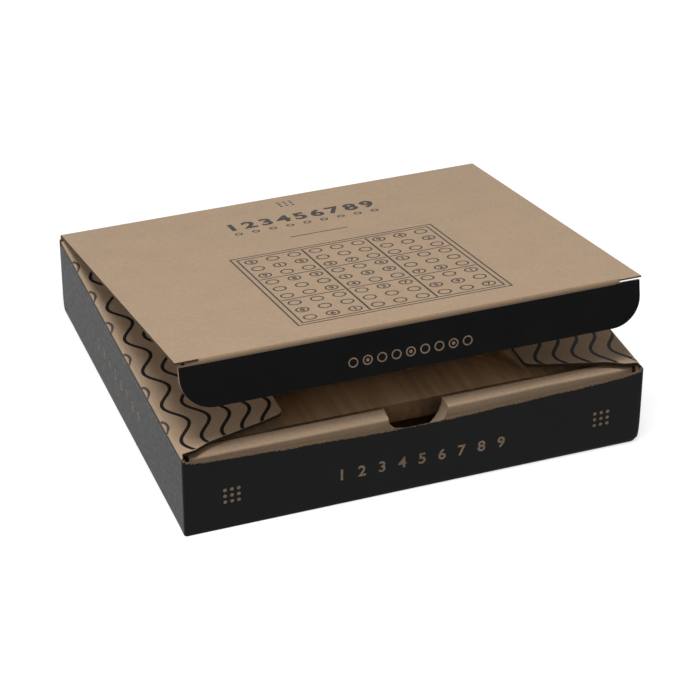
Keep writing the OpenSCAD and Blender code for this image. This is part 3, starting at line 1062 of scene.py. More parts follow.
def cut_notch(piece):
    """Cuts the thumb notch out of the insert, with a cut edge all round it."""
    front = settings().front
    radius = front.thumb_r
    built = bmesh.new()
    middle = (front.thumb_x, (INSERT_LOW.y + INSERT_HIGH.y) / 2 * MM, front.thumb_low + radius)
    turn = Matrix.Translation(middle) @ Matrix.Rotation(math.pi / 2, 4, "X")
    depth = (INSERT_HIGH.y - INSERT_LOW.y) * MM * 2
    bmesh.ops.create_cone(
        built, cap_ends=True, segments=96, radius1=radius, radius2=radius, depth=depth, matrix=turn)
    mesh = bpy.data.meshes.new("notch_cutter")
    built.to_mesh(mesh)
    built.free()
    mesh.materials.append(cut_card())
    cutter = bpy.data.objects.new("notch_cutter", mesh)
    bpy.context.scene.collection.objects.link(cutter)
    made = piece.modifiers.new("thumb notch", "BOOLEAN")
    made.operation = "DIFFERENCE"
    made.solver = "EXACT"
    made.material_mode = "TRANSFER"
    made.object = cutter
    graph = bpy.context.evaluated_depsgraph_get()
    piece.data = bpy.data.meshes.new_from_object(piece.evaluated_get(graph))
    piece.modifiers.clear()
    bpy.data.objects.remove(cutter)
    piece.data.set_sharp_from_angle(angle=math.radians(35))


def sag(piece):
    """Lets the insert's front fold hang."""
    for vertex in piece.data.vertices:
        x, y, z = vertex.co / MM
        front = held((INSERT_HIGH.y - y) / (INSERT_HIGH.y - INSERT_LOW.y))
        vertex.co.z -= between(LEDGE_SAG, x) * front * z / INSERT_HIGH.z * MM


# Strip along the thumb notch: how far it stands off the notch's edge, its thickness and its steps.
NOTCH_GAP, NOTCH_T, NOTCH_STEPS = 0.03, 0.3, 40


def notch_wall():
    """Strip of card along the thumb notch, as deep as the ledge at the top and as the sheet at the bottom."""
    front = settings().front
    radius, fold = front.thumb_r / MM - NOTCH_GAP, front.ledge_fold / MM
    middle = front.thumb_low / MM + front.thumb_r / MM
    most = math.acos((middle - INSERT_HIGH.z + NOTCH_GAP) / radius)
    depth = INSERT_HIGH.y - INSERT_LOW.y
    grid = []
    for k in range(NOTCH_STEPS + 1):
        angle = most * (2 * k / NOTCH_STEPS - 1)
        height = middle - radius * math.cos(angle)
        over = held((height - INSERT_HIGH.z + fold) / fold)
        start = fold * (1 - math.sqrt(1 - over * over)) + NOTCH_GAP
        stop = CARD + (depth - CARD - JUMP) * (abs(angle) / most) ** 0.3
        grid.append([(angle, start + (stop - start) * share) for share in (0.0, 0.1, 0.35, 0.65, 0.9, 1.0)])

    def place(angle, back, out):
        reach = radius + out
        across = front.thumb_x / MM + reach * math.sin(angle)
        return Vector((across, INSERT_LOW.y + back, middle - reach * math.cos(angle)))

    return sheet_mesh(grid, place, NOTCH_T, bare, cut=KRAFT, seam=False, swell=False)


class CARTON_OT_front_insert(bpy.types.Operator):
    """Sheet folded behind the front wall"""

    bl_idname = "sudoku.front_insert"
    bl_label = "Front insert"

    def execute(self, context):
        piece = add_piece("insert_sheet", insert_mesh(), card_finishes())
        cut_notch(piece)
        wall = add_piece("notch_wall", notch_wall(), card_finishes())
        for hung in (piece, wall):
            sag(hung)
        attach(piece, "carton")
        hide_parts("front_insert")
        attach(wall, "carton")
        return {"FINISHED"}


# Share of a flap's crease that is inked, and into how many steps a free corner is cut.
FLAP_INK, FLAP_CORNER_STEPS = 0.3, 6

# How far the waves end before the flap's edges, how far the crests on the crease are shifted towards it, where
# they are cut off, and how much narrower they are.
WAVE_INSET, CREASE_SHIFT, CREASE_CUT, CREST_WIDTH = 0.25, 0.45, -0.55, 0.8

# Into how many steps a wave line and a crest on the crease are cut, and how often an end's place is improved.
WAVE_STEPS, CREST_STEPS, END_ROUNDS = 110, 20, 20


class DustFlap:
    """A dust flap with its crease: along runs up the side wall, over the crease and in to the free edge."""

    def __init__(self, side):
        flap = settings().flap
        self.side = side
        self.flap = flap
        self.first = (flap.wave_first if side < 0 else flap.right_first) / MM
        self.crest = (flap.wave_crest if side < 0 else flap.right_crest) / MM - HALF_D
        corner = Vector((FLAP_HINGE.x + SKIN, FLAP_HINGE.z))
        heading = Vector((math.cos(FLAP_RAISE), math.sin(FLAP_RAISE)))
        foot = (FLAP_HINGE.x + SKIN, SIDE_SEAM)
        self.line = FoldedLine([foot, corner, corner + heading * FLAP_W], settings().card.fold_radius / MM)
        self.crease = sum(self.line.bends[0]) / 2
        self.scale = FLAP_W / (self.line.total - self.crease)

    def out(self, along):
        """Distance from the crease."""
        return (along - self.crease) * self.scale

    def along(self, out):
        """The inverse of out."""
        return self.crease + out / self.scale

    def edges(self, out):
        """Front and back end of the flap at a distance from its crease."""
        share = max(out, 0.0) / FLAP_W
        front = between(FRONT_EDGE, out) - HALF_D
        back = FLAP_HIGH.y - self.flap.back_run / MM * share
        radius = self.flap.corner / MM
        over = radius - (FLAP_W - out)
        if over > 0:
            cut = radius - math.sqrt(max(radius * radius - over * over, 0.0))
            front, back = front + cut, back - cut
        return front, back

    def place(self, along, across, depth):
        """A point of the flap, for the left or the right side."""
        x, z = self.line.at(along, depth)
        return Vector((-self.side * x, across, z))

    def sheet(self):
        """The flap as a closed sheet."""
        radius = self.flap.corner / MM
        angles = [math.pi / 2 * k / FLAP_CORNER_STEPS for k in range(FLAP_CORNER_STEPS + 1)]
        corner = [self.along(FLAP_W - radius * (1 - math.sin(angle))) for angle in angles]
        low, high = self.line.bends[0]
        ink_end = low + FLAP_INK * (high - low)
        marks = [self.along(out) for out, _ in FRONT_EDGE]
        alongs = steps(0.0, self.line.total, 3.0, *bend_marks(self.line), ink_end, *marks, *corner)
        grid = []
        for along in alongs:
            front, back = self.edges(self.out(along))
            grid.append([(along, y) for y in steps_between(front, back, count=30)])
        return sheet_mesh(grid, self.place, CARD, inked_before(ink_end), rubbed_near(ink_end))

    def wave(self, middle, start, stop, count, slot=0, width=1.0):
        """One printed wave line between two places along the flap, as a thin closed film."""
        flap = self.flap
        swing, half = flap.wave_swing / MM, flap.wave_stroke / MM / 2 * width
        turns = 2 * math.pi / (flap.wave_length / MM)
        crest = self.crest

        def out(y, offset):
            slope = swing * turns * math.sin(turns * (y - crest))
            return middle + swing * math.cos(turns * (y - crest)) + offset * half * math.hypot(1.0, slope)

        def clipped(y, offset, end):
            for _ in range(END_ROUNDS):
                edge = self.edges(out(y, offset))[end]
                y = max(start, edge + WAVE_INSET) if end == 0 else min(stop, edge - WAVE_INSET)
            return y

        offsets = (-1.0, -0.5, 0.0, 0.5, 1.0)
        ends = [(clipped(start, offset, 0), clipped(stop, offset, 1)) for offset in offsets]
        grid = []
        for k in range(count + 1):
            share = k / count
            ys = [low + (high - low) * share for low, high in ends]
            grid.append([(self.along(out(y, offset)), y) for y, offset in zip(ys, offsets)])

        def raised(along, across, depth):
            return self.place(along, across, depth - PRINT_T)

        return sheet_mesh(grid, raised, PRINT_T, lambda along, across: slot, inner=slot, cut=slot)

    def waves(self):
        """All wave lines of the flap. The first lies on the crease, so that only its crests show."""
        flap = self.flap
        step, size, crest = flap.wave_step / MM, flap.wave_length / MM, self.crest
        lines = []
        middle = self.first - step - CREASE_SHIFT
        share = (CREASE_CUT - middle) / (flap.wave_swing / MM)
        reach = size * math.acos(min(share, 1.0)) / (2 * math.pi)
        for k in range(-1, 7):
            low, high = crest + size * k - reach, crest + size * k + reach
            if reach and low > FLAP_LOW.y + 1 and high < FLAP_HIGH.y - 1:
                lines.append(self.wave(middle, low, high, CREST_STEPS, 1, CREST_WIDTH))
        middle += CREASE_SHIFT
        while middle + step < FLAP_W - flap.wave_swing / MM:
            middle += step
            lines.append(self.wave(middle, FLAP_LOW.y, FLAP_HIGH.y, WAVE_STEPS))
        return join(lines)


# Distance from a flap's crease at which it no longer bends, and the share of colour left on its cut edges, as
# painted shade for edges that face away from the light.
FLAP_BEND = 3.0
SHADED_FLAP_EDGE = 0.24


class CARTON_OT_dust_flaps(bpy.types.Operator):
    """Dust flaps with their creases and printed waves"""

    bl_idname = "sudoku.dust_flaps"
    bl_label = "Dust flaps"

    def execute(self, context):
        card = settings().card
        waves = printed_lines("wave ink", card.ink, gloss=0.2)
        # The crests on the crease get a paler ink: rubbing, and a painted highlight on the crease.
        rubbed = printed_lines("rubbed, highlit wave ink", card.rubbed_ink, gloss=0.2)
        for side, word in ((-1, "left"), (1, "right")):
            flap = DustFlap(side)
            inner = flap.line.at(flap.along(FLAP_BEND), CARD)
            # Painted shade: the flaps' cut edges keep only a share of the cut edge colour.
            finishes = card_finishes(cut=cut_card("shaded flap cut edge", SHADED_FLAP_EDGE))
            sheet = add_piece(word + "_flap_sheet", flap.sheet(), finishes)
            printed = add_piece(word + "_flap_waves", flap.waves(), [waves, rubbed])
            for piece in (sheet, printed):
                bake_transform(piece)
            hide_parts(word + "_dust_flap")
        return {"FINISHED"}


# Lid and tuck flap


# Share of the lid's crease that is inked, and distance behind it at which the lid no longer bends.
LID_INK, LID_BEND = 0.35, 2.2

# Ears beside the tuck flap's crease: how long they are, by what share they are crushed, and how far each stays
# behind the lid's front.
EAR_RUN, EAR_CRUSH = 4.0, 0.5
LEFT_EAR, RIGHT_EAR = 1.65, 0.2

# Tuck flap's half width and height, and the distance below its crease at which it no longer bends.
TUCK_HALF, TUCK_H, TUCK_BEND = 106.1, 22.5, 3.2

# Width of a slit's flat inner end, the distance over which the tuck flap steps out to it, and into how many
# steps a lower corner is cut.
SLIT_ROOT, SLIT_STEP, TUCK_CORNER_STEPS = 0.3, 0.06, 12

# Wear of the tuck flap: how it rises to where the ink starts, darkening the bare bend as painted shade, and over
# what distance it fades on the ink, and how far the lower edge is rubbed and over what distance.
CREASE_RISE, INK_FADE = 0.6, 0.7
LOW_EDGE_RUB, LOW_EDGE_REACH = 0.6, 0.8


def slit_place():
    """Distance from the middle to the inner ends of the tuck flap's slits."""
    return TUCK_HALF - settings().lid.slit / MM


def lid_mesh():
    """Lid with its crease along the back wall, and where that crease ends on the inside."""
    card = settings().card
    heading = LID_TURN @ Vector((0, -1, 0))
    top = on_lid(0, 0, CARD)
    back = HALF_D - SKIN
    corner = top + heading * ((back - top.y) / heading.y)
    front = on_lid(0, LID_FOLD, CARD)
    line = FoldedLine([(back, BACK_SEAM), (corner.y, corner.z), (front.y, front.z)], card.hinge_radius / MM)
    fold_start = line.total - card.fold_radius / MM * math.tan((math.pi / 2 + TUCK_LEAN) / 2)
    ear_start = fold_start - EAR_RUN
    low, high = line.bends[0]
    ink_end = low + LID_INK * (high - low)
    slit = slit_place()
    marks = [side * place / LID_HALF for place in (slit, slit + JUMP, LID_HALF - 1) for side in (-1, 1)]
    acrosses = [share * LID_HALF for share in steps(-1.0, 1.0, 0.08, *marks)]

    def on_ear(across):
        return abs(across) > slit + JUMP / 2

    def front_edge(across):
        if not on_ear(across):
            return fold_start
        return line.total - (LEFT_EAR if across < 0 else RIGHT_EAR)

    alongs = steps(0.0, ear_start, 12.0, *bend_marks(line), ink_end)
    grid = [[(along, across) for across in acrosses] for along in alongs]
    for share in (0.7, 1.0):
        grid.append([(ear_start + (front_edge(across) - ear_start) * share, across) for across in acrosses])

    def place(along, across, depth):
        crushed = held((along - ear_start) / EAR_RUN) if on_ear(across) else 0.0
        y, z = line.at(along, depth * (1 - EAR_CRUSH * crushed))
        return Vector((across, y, z))

    mesh = sheet_mesh(grid, place, CARD, inked_before(ink_end), rubbed_near(ink_end))
    return mesh, line.at(high + LID_BEND, CARD)


def tuck_line():
    """Outer line of the tuck flap and its crease, on the lid: distance from the hinge line, and rise."""
    corner = Vector((LID_FOLD, CARD))
    down = Vector((-math.sin(TUCK_LEAN), -math.cos(TUCK_LEAN)))
    radius = settings().card.fold_radius / MM
    reach = radius * math.tan((math.pi / 2 + TUCK_LEAN) / 2)
    return FoldedLine([corner - Vector((reach + 1e-4, 0)), corner, corner + down * TUCK_H], radius)


def tuck_place(line):
    """Puts a point of the tuck flap in space."""
    def place(along, across, depth):
        back, rise = line.at(along, depth)
        return on_lid(across, back, rise)
    return place


def tuck_down(line):
    """Turns a distance below the crease's corner into a distance along the tuck flap's line."""
    return lambda down: line.total - (TUCK_H - down)


def tuck_mesh():
    """Tuck flap with its slit crease and round lower corners, and where it bends on the inside."""
    lid = settings().lid
    line = tuck_line()
    place, down = tuck_place(line), tuck_down(line)
    slit, wedge = slit_place(), lid.slit_wedge / MM
    gaps = [down(lid.left_gap / MM), down(lid.right_gap / MM)]
    ink = down(lid.ink_start / MM)
    radii = (lid.left_corner / MM, lid.right_corner / MM)
    angles = [math.pi / 2 * k / TUCK_CORNER_STEPS for k in range(TUCK_CORNER_STEPS + 1)]
    curve = [down(TUCK_H - radius * (1 - math.sin(angle))) for radius in radii for angle in angles]
    marks = [gap + more for gap in gaps for more in (-wedge - SLIT_STEP, -wedge, -wedge / 2, 0, 0.5)]

    def half_width(along, gap, radius):
        """Distance from the middle to the flap's end."""
        over = along - down(TUCK_H - radius)
        if over > 0:
            return TUCK_HALF - radius + math.sqrt(max(radius * radius - over * over, 0.0))
        if along > gap - wedge - SLIT_STEP / 2:
            open_end = slit + SLIT_ROOT
            return open_end + (TUCK_HALF - open_end) * min((along - gap + wedge) / wedge, 1.0)
        return slit

    grid = []
    for along in steps(0.0, line.total, 4.0, *bend_marks(line), *marks, ink, *curve):
        left, right = (half_width(along, gap, radius) for gap, radius in zip(gaps, radii))
        grid.append([(along, across) for across in steps_between(-left, right, count=40)])

    def worn(along, across):
        # Before the ink starts this value is painted shade on the bare bend, and after it, it rubs the ink.
        crease = (along / ink) ** CREASE_RISE if along < ink else max(0.0, 1.0 - (along - ink) / INK_FADE)
        low_edge = max(0.0, 1.0 - (line.total - along) / LOW_EDGE_REACH) * LOW_EDGE_RUB
        return max(crease * CREASE_WEAR_AND_SHADE, low_edge)

    def outer(along, across):
        return INK if along > ink or across > slit + SLIT_ROOT else KRAFT

    mesh = sheet_mesh(grid, place, CARD, outer, worn, cut=KRAFT)
    return mesh, place(0.0, 0.0, CARD), place(down(TUCK_BEND), 0.0, CARD)


class CARTON_OT_lid(bpy.types.Operator):
    """Lid and tuck flap with their creases"""

    bl_idname = "sudoku.lid"
    bl_label = "Lid and tuck flap"

    def execute(self, context):
        mesh, inner = lid_mesh()
        lid = add_piece("lid_sheet", mesh, card_finishes())
        start = (0.0, (HALF_D - CARD) * MM, BACK_SEAM * MM)
        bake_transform(lid)
        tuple(start)
        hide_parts("lid_panel")
        mesh, start, end = tuck_mesh()
        # Painted shade on the bare bend below the tuck flap's crease, by up to this share.
        crease_shaded = kraft_card("crease-shaded kraft", crease=0.68)
        tuck = add_piece("tuck_sheet", mesh, card_finishes("black printed tuck", gloss=0.05, kraft=crease_shaded))
        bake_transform(tuck)
        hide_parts("tuck_flap")
        return {"FINISHED"}


# Print


# How far the strokes of numbers are thickened, in the type's own size: on the lid, in its grid, on the walls.
LID_HEAVY, CELL_HEAVY, WALL_HEAVY = 0.035, 0.03, 0.02

# Lid's print: distances from the hinge line of the dots, the numbers, the rings and the rule, the height of the
# numbers, the step from one to the next, the step between the dots, and half the rule's length.
DOTS_AT, NUMBERS_AT, RINGS_AT, RULE_AT = 14.0, 36.2, 47.4, 64.8
LID_NUMBER_H, LID_NUMBER_STEP, LID_DOT_STEP, RULE_HALF = 10.2, 8.6, 3.0, 14.4

# Radius of the rings under the lid's numbers, and the width of their line and of the rule.
SMALL_RING, SMALL_LINE = 1.55, 0.8

# Radius of a ring in the lid's grid, and height of a number in it, as shares of the pitch.
CELL_RING, CELL_NUMBER = 0.268, 0.33

# Print on the walls: height of the numbers and the step from one to the next, the front's middle, the left
# wall's middle, and how high the numbers stand on each.
WALL_NUMBER_H, WALL_NUMBER_STEP, FRONT_MIDDLE, LEFT_MIDDLE = 5.6, 9.4, 1.7, 4.4
FRONT_NUMBERS_AT, LEFT_NUMBERS_AT = 15.6, 19.6

# Dots on the front wall: places across, height, step and radius.
FRONT_DOTS, FRONT_DOTS_AT, FRONT_DOT_STEP, FRONT_DOT = (-86.2, 87.8), 17.1, 3.1, 0.85

# Tuck flap's rings: the first one's place, the step to the next, their distance below the crease, their radius
# and the width of their line.
TUCK_FIRST, TUCK_STEP, TUCK_RINGS_AT, TUCK_RING, TUCK_RING_LINE = -29.0, 6.6, 14.6, 2.0, 0.6

# Share of the card's colour in lines that the black print leaves bare.
PALE_SHARE = 0.6


def dot(middle, radius=0.8):
    """A printed dot."""
    return circle_points(middle, radius, 20)


def dot_block(middle, step, radius=0.8):
    """Three by three dots."""
    sides = (-1, 0, 1)
    return [dot((middle[0] + step * dx, middle[1] + step * dy), radius) for dx in sides for dy in sides]


def number_row(middle, step, height, heavy):
    """The numbers from one to nine in a row."""
    faces = []
    for k in range(CELLS):
        faces += digit(k + 1, (middle[0] + (k - CELLS // 2) * step, middle[1]), height, heavy=heavy)
    return faces


def solved(row, column):
    """Number in a cell of the printed grid."""
    return (BLOCK * (row % BLOCK) + row // BLOCK + 4 * column + 2) % CELLS + 1


def printed_given(row, column):
    """Whether the printed grid gives a cell's number: the same seen from either side."""
    index = min(CELLS * row + column, CELLS * CELLS - 1 - CELLS * row - column)
    return (5 * index * index + 3 * index) % 11 < 3


def lid_print():
    """Picture on the lid: nine by nine rings in a double border, a row of numbers, a rule and dots."""
    lid = settings().lid
    fine, heavy = lid.fine_line / MM, lid.block_line / MM
    size, gap, middle = lid.grid_w / MM, lid.border_gap / MM, lid.grid_x / MM
    left, back = middle - size / 2, -lid.grid_start / MM
    faces = frame_lines((left, back - size), (left + size, back), fine)
    faces += frame_lines((left + gap, back - size + gap), (left + size - gap, back - gap), fine)
    pitch = (size - 2 * gap) / CELLS
    cuts = [left + gap + k * pitch for k in range(0, CELLS + 1, BLOCK)]
    for x in cuts[1:-1]:
        faces.append(stroke((x, back - gap - fine), (x, back - size + gap + fine), heavy))
    for k in range(BLOCK, CELLS, BLOCK):
        y = back - gap - k * pitch
        for start, stop in zip(cuts, cuts[1:]):
            faces.append(stroke((start + heavy, y), (stop - heavy, y), fine))
    for row in range(CELLS):
        for column in range(CELLS):
            spot = (left + gap + (column + 0.5) * pitch, back - gap - (row + 0.5) * pitch)
            faces += ring(spot, pitch * CELL_RING, fine)
            if printed_given(row, column):
                faces += digit(solved(row, column), spot, pitch * CELL_NUMBER, heavy=CELL_HEAVY)
    faces += number_row((middle, -NUMBERS_AT), LID_NUMBER_STEP, LID_NUMBER_H, LID_HEAVY)
    for k in range(CELLS):
        faces += ring((middle + (k - CELLS // 2) * LID_NUMBER_STEP, -RINGS_AT), SMALL_RING, SMALL_LINE)
    faces.append(stroke((middle - RULE_HALF, -RULE_AT), (middle + RULE_HALF, -RULE_AT), SMALL_LINE))
    faces += dot_block((middle, -DOTS_AT), LID_DOT_STEP)
    return print_mesh(faces, lambda u, v, h: on_lid(u, -v, CARD + h))


def tuck_print():
    """Row of rings on the tuck flap."""
    line = tuck_line()
    place, down = tuck_place(line), tuck_down(line)
    faces = []
    for k in range(CELLS):
        spot = (TUCK_FIRST + TUCK_STEP * k, 0.0)
        faces += ring(spot, TUCK_RING, TUCK_RING_LINE)
        if k % BLOCK == 1:
            faces.append(dot(spot))
    return print_mesh(faces, lambda u, v, h: place(down(TUCK_RINGS_AT - v), u, -h))


def front_print():
    """Numbers and dots on the front wall."""
    faces = number_row((FRONT_MIDDLE, FRONT_NUMBERS_AT), WALL_NUMBER_STEP, WALL_NUMBER_H, WALL_HEAVY)
    for middle in FRONT_DOTS:
        faces += dot_block((middle, FRONT_DOTS_AT), FRONT_DOT_STEP, FRONT_DOT)
    return print_mesh(faces, lambda u, v, h: Vector((u, SKIN - HALF_D - h, v)))


def left_print():
    """Numbers on the left wall, read from the left."""
    faces = number_row((0.0, LEFT_NUMBERS_AT), WALL_NUMBER_STEP, WALL_NUMBER_H, WALL_HEAVY)
    return print_mesh(faces, lambda u, v, h: Vector((SKIN - HALF_W - h, LEFT_MIDDLE - u, v)))


class CARTON_OT_print(bpy.types.Operator):
    """Print on the lid, the tuck flap and the walls"""

    bl_idname = "sudoku.print"
    bl_label = "Print"

    def execute(self, context):
        card = settings().card
        dark = printed_lines("lid ink", card.line_ink)
        pale = printed_lines("bare lines", [PALE_SHARE * part for part in card.kraft], gloss=0.13)
        for name, mesh, made, body, slot in (
            ("lid_print", lid_print(), dark, "lid", "kraft_card"),
            ("tuck_print", tuck_print(), pale, "tuck", "black_card"),
            ("front_print", front_print(), pale, "carton", "black_card"),
            ("left_wall_print", left_print(), pale, "carton", "black_card"),
        ):
            piece = add_piece(name, mesh, [made], outward=True)
            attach(piece, body)
        return {"FINISHED"}


# Wooden board


# Widths of the burnt lines round blocks and round cells.
BLOCK_BURN, CELL_BURN = 0.9, 0.42

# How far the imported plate's edges are chamfered, by what share the upper one is made sharp again, and how much
# further the lower one is eased.
PLATE_EDGE, UPPER_SHARP, LOWER_EASE = 1.5, 0.9, 0.6


def burn_width(k):
    """Width of the burnt line with that number."""
    return BLOCK_BURN if k % BLOCK == 0 else CELL_BURN


def grid_lines():
    """Lines burnt into the grid plate between the recesses, heavier between blocks."""
    margin = settings().wood.field_margin / MM
    low, high = PLATE_LOW.x + margin, PLATE_HIGH.x - margin
    middle = (PLATE_LOW.y + PLATE_HIGH.y) / 2
    pitch = (high - low) / CELLS
    half = (high - low) / 2
    front, back = middle - half, middle + half
    faces = frame_lines((low, front), (high, back), BLOCK_BURN)
    for k in range(1, CELLS):
        x = low + k * pitch
        faces.append(stroke((x, front + BLOCK_BURN / 2), (x, back - BLOCK_BURN / 2), burn_width(k)))
    for row in range(1, CELLS):
        y = front + row * pitch
        for k in range(CELLS):
            start = low + k * pitch + burn_width(k) / 2
            stop = low + (k + 1) * pitch - burn_width(k + 1) / 2
            faces.append(stroke((start, y), (stop, y), burn_width(row)))
    return print_mesh(faces, lambda u, v, h: Vector((u, v, PLATE_HIGH.z + h)))


def eased_plate():
    """Grid plate with a sharp upper and a well eased lower front edge."""
    built = bmesh.new()
    built.from_mesh(frame["nodes"]["grid_plate"].data)
    bmesh.ops.scale(built, vec=(1 / MM, 1 / MM, 1 / MM), verts=built.verts)
    for vertex in built.verts:
        from_front = vertex.co.y - PLATE_LOW.y
        from_top, from_foot = PLATE_HIGH.z - vertex.co.z, vertex.co.z - PLATE_LOW.z
        if from_front < JUMP and from_top < PLATE_EDGE:
            vertex.co.z += UPPER_SHARP * from_top
        elif from_front < PLATE_EDGE and from_top < JUMP:
            vertex.co.y -= UPPER_SHARP * from_front
        elif from_front < JUMP and from_foot < PLATE_EDGE:
            vertex.co.z += LOWER_EASE
        elif from_front < PLATE_EDGE and from_foot < JUMP:
            vertex.co.y += LOWER_EASE
    return built


class CARTON_OT_board(bpy.types.Operator):
    """Wooden board with its burnt grid"""

    bl_idname = "sudoku.board"
    bl_label = "Wooden board"

    def execute(self, context):
        tone = settings().wood
        plate = wood(
            "plate wood", tone.plate_pale, tone.plate_deep, stave=0.021, seam=0.15, tint=0.2, seed=0.37)
        base = wood("base wood", tone.base_pale, tone.base_deep, stave=0.06, seam=0.5, tint=0.2, seed=0.1)
        dowel = wood("dowel wood", tone.disc_pale, tone.disc_deep, stave=0.012, seam=0.0)
        piece = add_piece("board_plate", eased_plate(), [plate])
        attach(piece, "carton")
        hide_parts("grid_plate")
        for name in ("left_trough_frame", "right_trough_frame"):
            dress(name, plate)
        for name in ("tray_panel", "base_front_rail", "base_back_rail", "base_left_rail", "base_right_rail",
                     "centre_bearer", "base_bottom"):
            dress(name, base)
        dress("rail_dowels", dowel)
        piece = add_piece("grid_lines", grid_lines(), [burnt_wood()], outward=True)
        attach(piece, "carton")
        return {"FINISHED"}


def disc_places(name):
    """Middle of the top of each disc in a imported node."""
    built = bmesh.new()
    built.from_mesh(frame["nodes"][name].data)
    bmesh.ops.remove_doubles(built, verts=built.verts, dist=0.01 * MM)
    left = set(built.verts)
    places = []
    while left:
        group, edge = set(), [left.pop()]
        while edge:
            vertex = edge.pop()
            group.add(vertex)
            for link in vertex.link_edges:
                other = link.other_vert(vertex)
                if other in left:
                    left.discard(other)
                    edge.append(other)
        low = [min(vertex.co[axis] for vertex in group) for axis in range(3)]
        high = [max(vertex.co[axis] for vertex in group) for axis in range(3)]
        places.append(Vector(((low[0] + high[0]) / 2, (low[1] + high[1]) / 2, high[2])) / MM)
    built.free()
    return sorted(places, key=lambda place: (round(place.y, 2), round(place.x, 2)))


# Most that a number on the grid is turned, how far its strokes are thickened, and the bar under a 6 or a 9: its
# gap, half length and width.
DISC_TURN, DISC_HEAVY = 0.06, 0.012
BAR_GAP, BAR_HALF, BAR_W = 0.75, 1.5, 0.5


def disc_number(number, spot, turn):
    """The number on one disc, with a bar under a 6 or a 9."""
    height = settings().wood.digit_h / MM
    middle = Vector((spot.x, spot.y))
    faces = digit(number, middle, height, turn, DISC_HEAVY)
    if number in (6, 9):
        around = Matrix.Rotation(turn, 2)
        foot = middle + around @ Vector((0, -0.5 * height - BAR_GAP))
        across = around @ Vector((BAR_HALF, 0))
        faces.append(stroke(foot - across, foot + across, BAR_W))
    return print_mesh(faces, lambda u, v, h: Vector((u, v, spot.z + h)))


class CARTON_OT_number_discs(bpy.types.Operator):
    """Number discs with their numbers"""

    bl_idname = "sudoku.number_discs"
    bl_label = "Number discs"

    def execute(self, context):
        tone = settings().wood
        made = wood("disc wood", tone.disc_pale, tone.disc_deep, stave=0.0127, seam=0.0, tint=0.3, seed=0.5)
        draw = random.Random(81)
        for number in range(1, CELLS + 1):
            name = "number_discs_%d" % number
            dress(name, made)
            numbers = []
            for spot in disc_places(name):
                turn = draw.uniform(-DISC_TURN, DISC_TURN)
                if abs(spot.x) > PLATE_HIGH.x:
                    turn = draw.uniform(-math.pi, math.pi)
                numbers.append(disc_number(number, spot, turn))
            piece = add_piece("disc_numbers_%d" % number, join(numbers), [burnt_wood()], outward=True)
            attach(piece, "discs_%d" % number)
        return {"FINISHED"}


# Stage


# Lamps: name, place, size and power. Each faces the carton's middle.
LAMPS = (
    ("key", (-0.30, -0.48, 1.93), 0.7, 26.6),
    ("side", (-1.6, 0.1, 0.55), 1.2, 6.0),
    ("fill", (1.3, -0.9, 1.2), 1.4, 2.0),
)
LAMP_AIM = (0, 0, 0.03)

# Half the floor's width in metres, and how far it lies below the carton in millimetres.
FLOOR_HALF, FLOOR_DROP = 4.0, 0.15


def seen_straight(tree):
    """One where a ray comes from the camera, a reflection or glass, and nothing where it only carries light."""
    path = node(tree, "LightPath").outputs
    return sums(tree, "MAXIMUM", path["Is Camera Ray"],
                sums(tree, "MAXIMUM", path["Is Glossy Ray"], path["Is Transmission Ray"]))


def floor_finish():
    """Plain pale floor, faintly uneven."""
    def build(tree, shader):
        level = limits(tree, cloud(tree, stretched(tree), 6.0, 2.0), 0.3, 0.7, 0.995, 1.0)
        connect(tree, shader, Base_Color=toned(tree, four(settings().stage.floor), level))
        shader.inputs["Roughness"].default_value = 0.9
        shader.inputs["Specular IOR Level"].default_value = 0.1
        shader.inputs["Emission Color"].default_value = WHITE
        lift = times(tree, seen_straight(tree), settings().stage.floor_lift)
        connect(tree, shader, Emission_Strength=lift)
    return finish("pale floor", build)


def area_light(name, place, size, power):
    """A soft square lamp that faces the carton."""
    lamp = bpy.data.lights.new(name, "AREA")
    lamp.shape = "SQUARE"
    lamp.size = size
    lamp.energy = power
    made = bpy.data.objects.new(name, lamp)
    made.location = place
    made.rotation_euler = (Vector(LAMP_AIM) - Vector(place)).to_track_quat("-Z", "Y").to_euler()
    bpy.context.scene.collection.objects.link(made)


class CARTON_OT_stage(bpy.types.Operator):
    """Camera, floor and light"""

    bl_idname = "sudoku.stage"
    bl_label = "Stage"

    def execute(self, context):
        stage = settings().stage
        scene = context.scene
        data = bpy.data.cameras.new("camera")
        data.sensor_width = 36
        data.lens = stage.lens
        camera = bpy.data.objects.new("camera", data)
        camera.location = stage.place
        look = Euler((math.pi / 2 - stage.elevation, 0, stage.azimuth)).to_quaternion()
        camera.rotation_euler = (look @ Quaternion((0, 0, 1), stage.roll)).to_euler()
        scene.collection.objects.link(camera)
        scene.camera = camera
        built = bmesh.new()
        bmesh.ops.create_grid(built, x_segments=8, y_segments=8, size=FLOOR_HALF / MM)
        bmesh.ops.translate(built, verts=built.verts, vec=(0, 0, -FLOOR_DROP))
        floor = add_piece("floor", built, [floor_finish()])
        world = bpy.data.worlds.new("studio")
        world.use_nodes = True
        tree = world.node_tree
        strength = limits(tree, seen_straight(tree), 0.0, 1.0, stage.sky, 1.0)
        background = tree.nodes["Background"]
        background.inputs["Color"].default_value = WHITE
        tree.links.new(strength, background.inputs["Strength"])
        scene.world = world
        for lamp in LAMPS:
            area_light(*lamp)
        scene.view_settings.view_transform = "Standard"
        return {"FINISHED"}


# Add-on


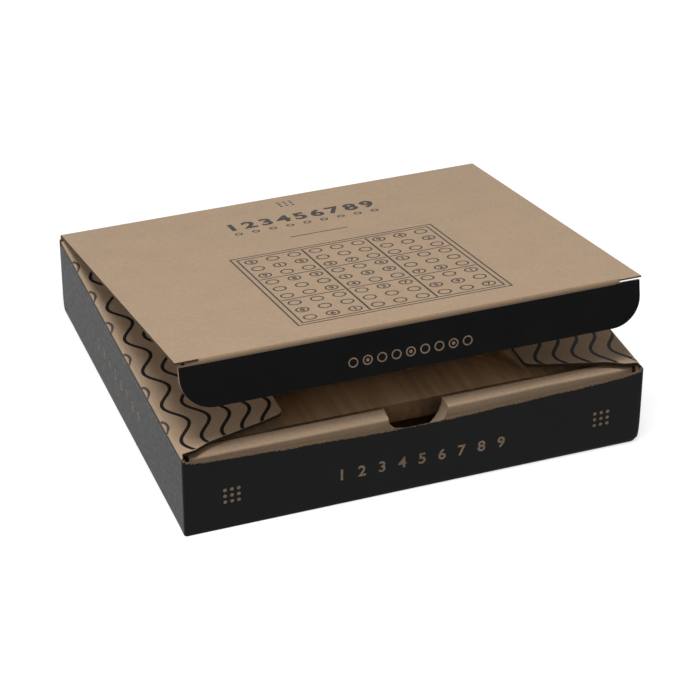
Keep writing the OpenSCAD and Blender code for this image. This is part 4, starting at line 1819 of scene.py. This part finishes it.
class CartonSettings(bpy.types.PropertyGroup):
    """All settings of the carton, by group."""

    card: PointerProperty(type=CardSettings, name="Card", description="Card that the carton is folded from")
    front: PointerProperty(type=FrontSettings, name="Front", description="Front wall and insert")
    flap: PointerProperty(type=FlapSettings, name="Dust flaps", description="Dust flaps and their waves")
    lid: PointerProperty(type=LidSettings, name="Lid", description="Lid, tuck flap and print")
    wood: PointerProperty(type=WoodSettings, name="Wood", description="Board and discs")
    stage: PointerProperty(type=StageSettings, name="Stage", description="Camera, floor and light")


MAKERS = (
    CARTON_OT_stage, CARTON_OT_tray, CARTON_OT_front_insert, CARTON_OT_dust_flaps, CARTON_OT_lid,
    CARTON_OT_print, CARTON_OT_board, CARTON_OT_number_discs,
)


class CARTON_PT_panel(bpy.types.Panel):
    """Lists the carton's pieces and settings"""

    bl_idname = "CARTON_PT_panel"
    bl_label = "Sudoku board carton"
    bl_space_type = "VIEW_3D"
    bl_region_type = "UI"
    bl_category = "Carton"

    def draw(self, context):
        for maker in MAKERS:
            self.layout.operator(maker.bl_idname)
        groups = context.scene.sudoku_carton
        for label in ("card", "front", "flap", "lid", "wood", "stage"):
            box = self.layout.box()
            box.label(text=label.capitalize())
            group = getattr(groups, label)
            for key in group.__annotations__:
                box.prop(group, key)


CLASSES = (
    CardSettings, FrontSettings, FlapSettings, LidSettings, WoodSettings, StageSettings, CartonSettings,
    *MAKERS, CARTON_PT_panel,
)


def register():
    """Adds the classes and the scene's settings."""
    for made in CLASSES:
        bpy.utils.register_class(made)
    bpy.types.Scene.sudoku_carton = PointerProperty(
        type=CartonSettings, name="Sudoku carton", description="Sizes and colours of the carton")


def unregister():
    """Takes the classes and the scene's settings away again."""
    del bpy.types.Scene.sudoku_carton
    for made in reversed(CLASSES):
        bpy.utils.unregister_class(made)


def main():
    """Makes every piece in order."""
    register()
    bpy.ops.sudoku.stage()
    bpy.ops.sudoku.carton_tray()
    bpy.ops.sudoku.front_insert()
    bpy.ops.sudoku.dust_flaps()
    bpy.ops.sudoku.lid()
    bpy.ops.sudoku.print()
    bpy.ops.sudoku.board()
    bpy.ops.sudoku.number_discs()


if __name__ == "__main__":
    main()
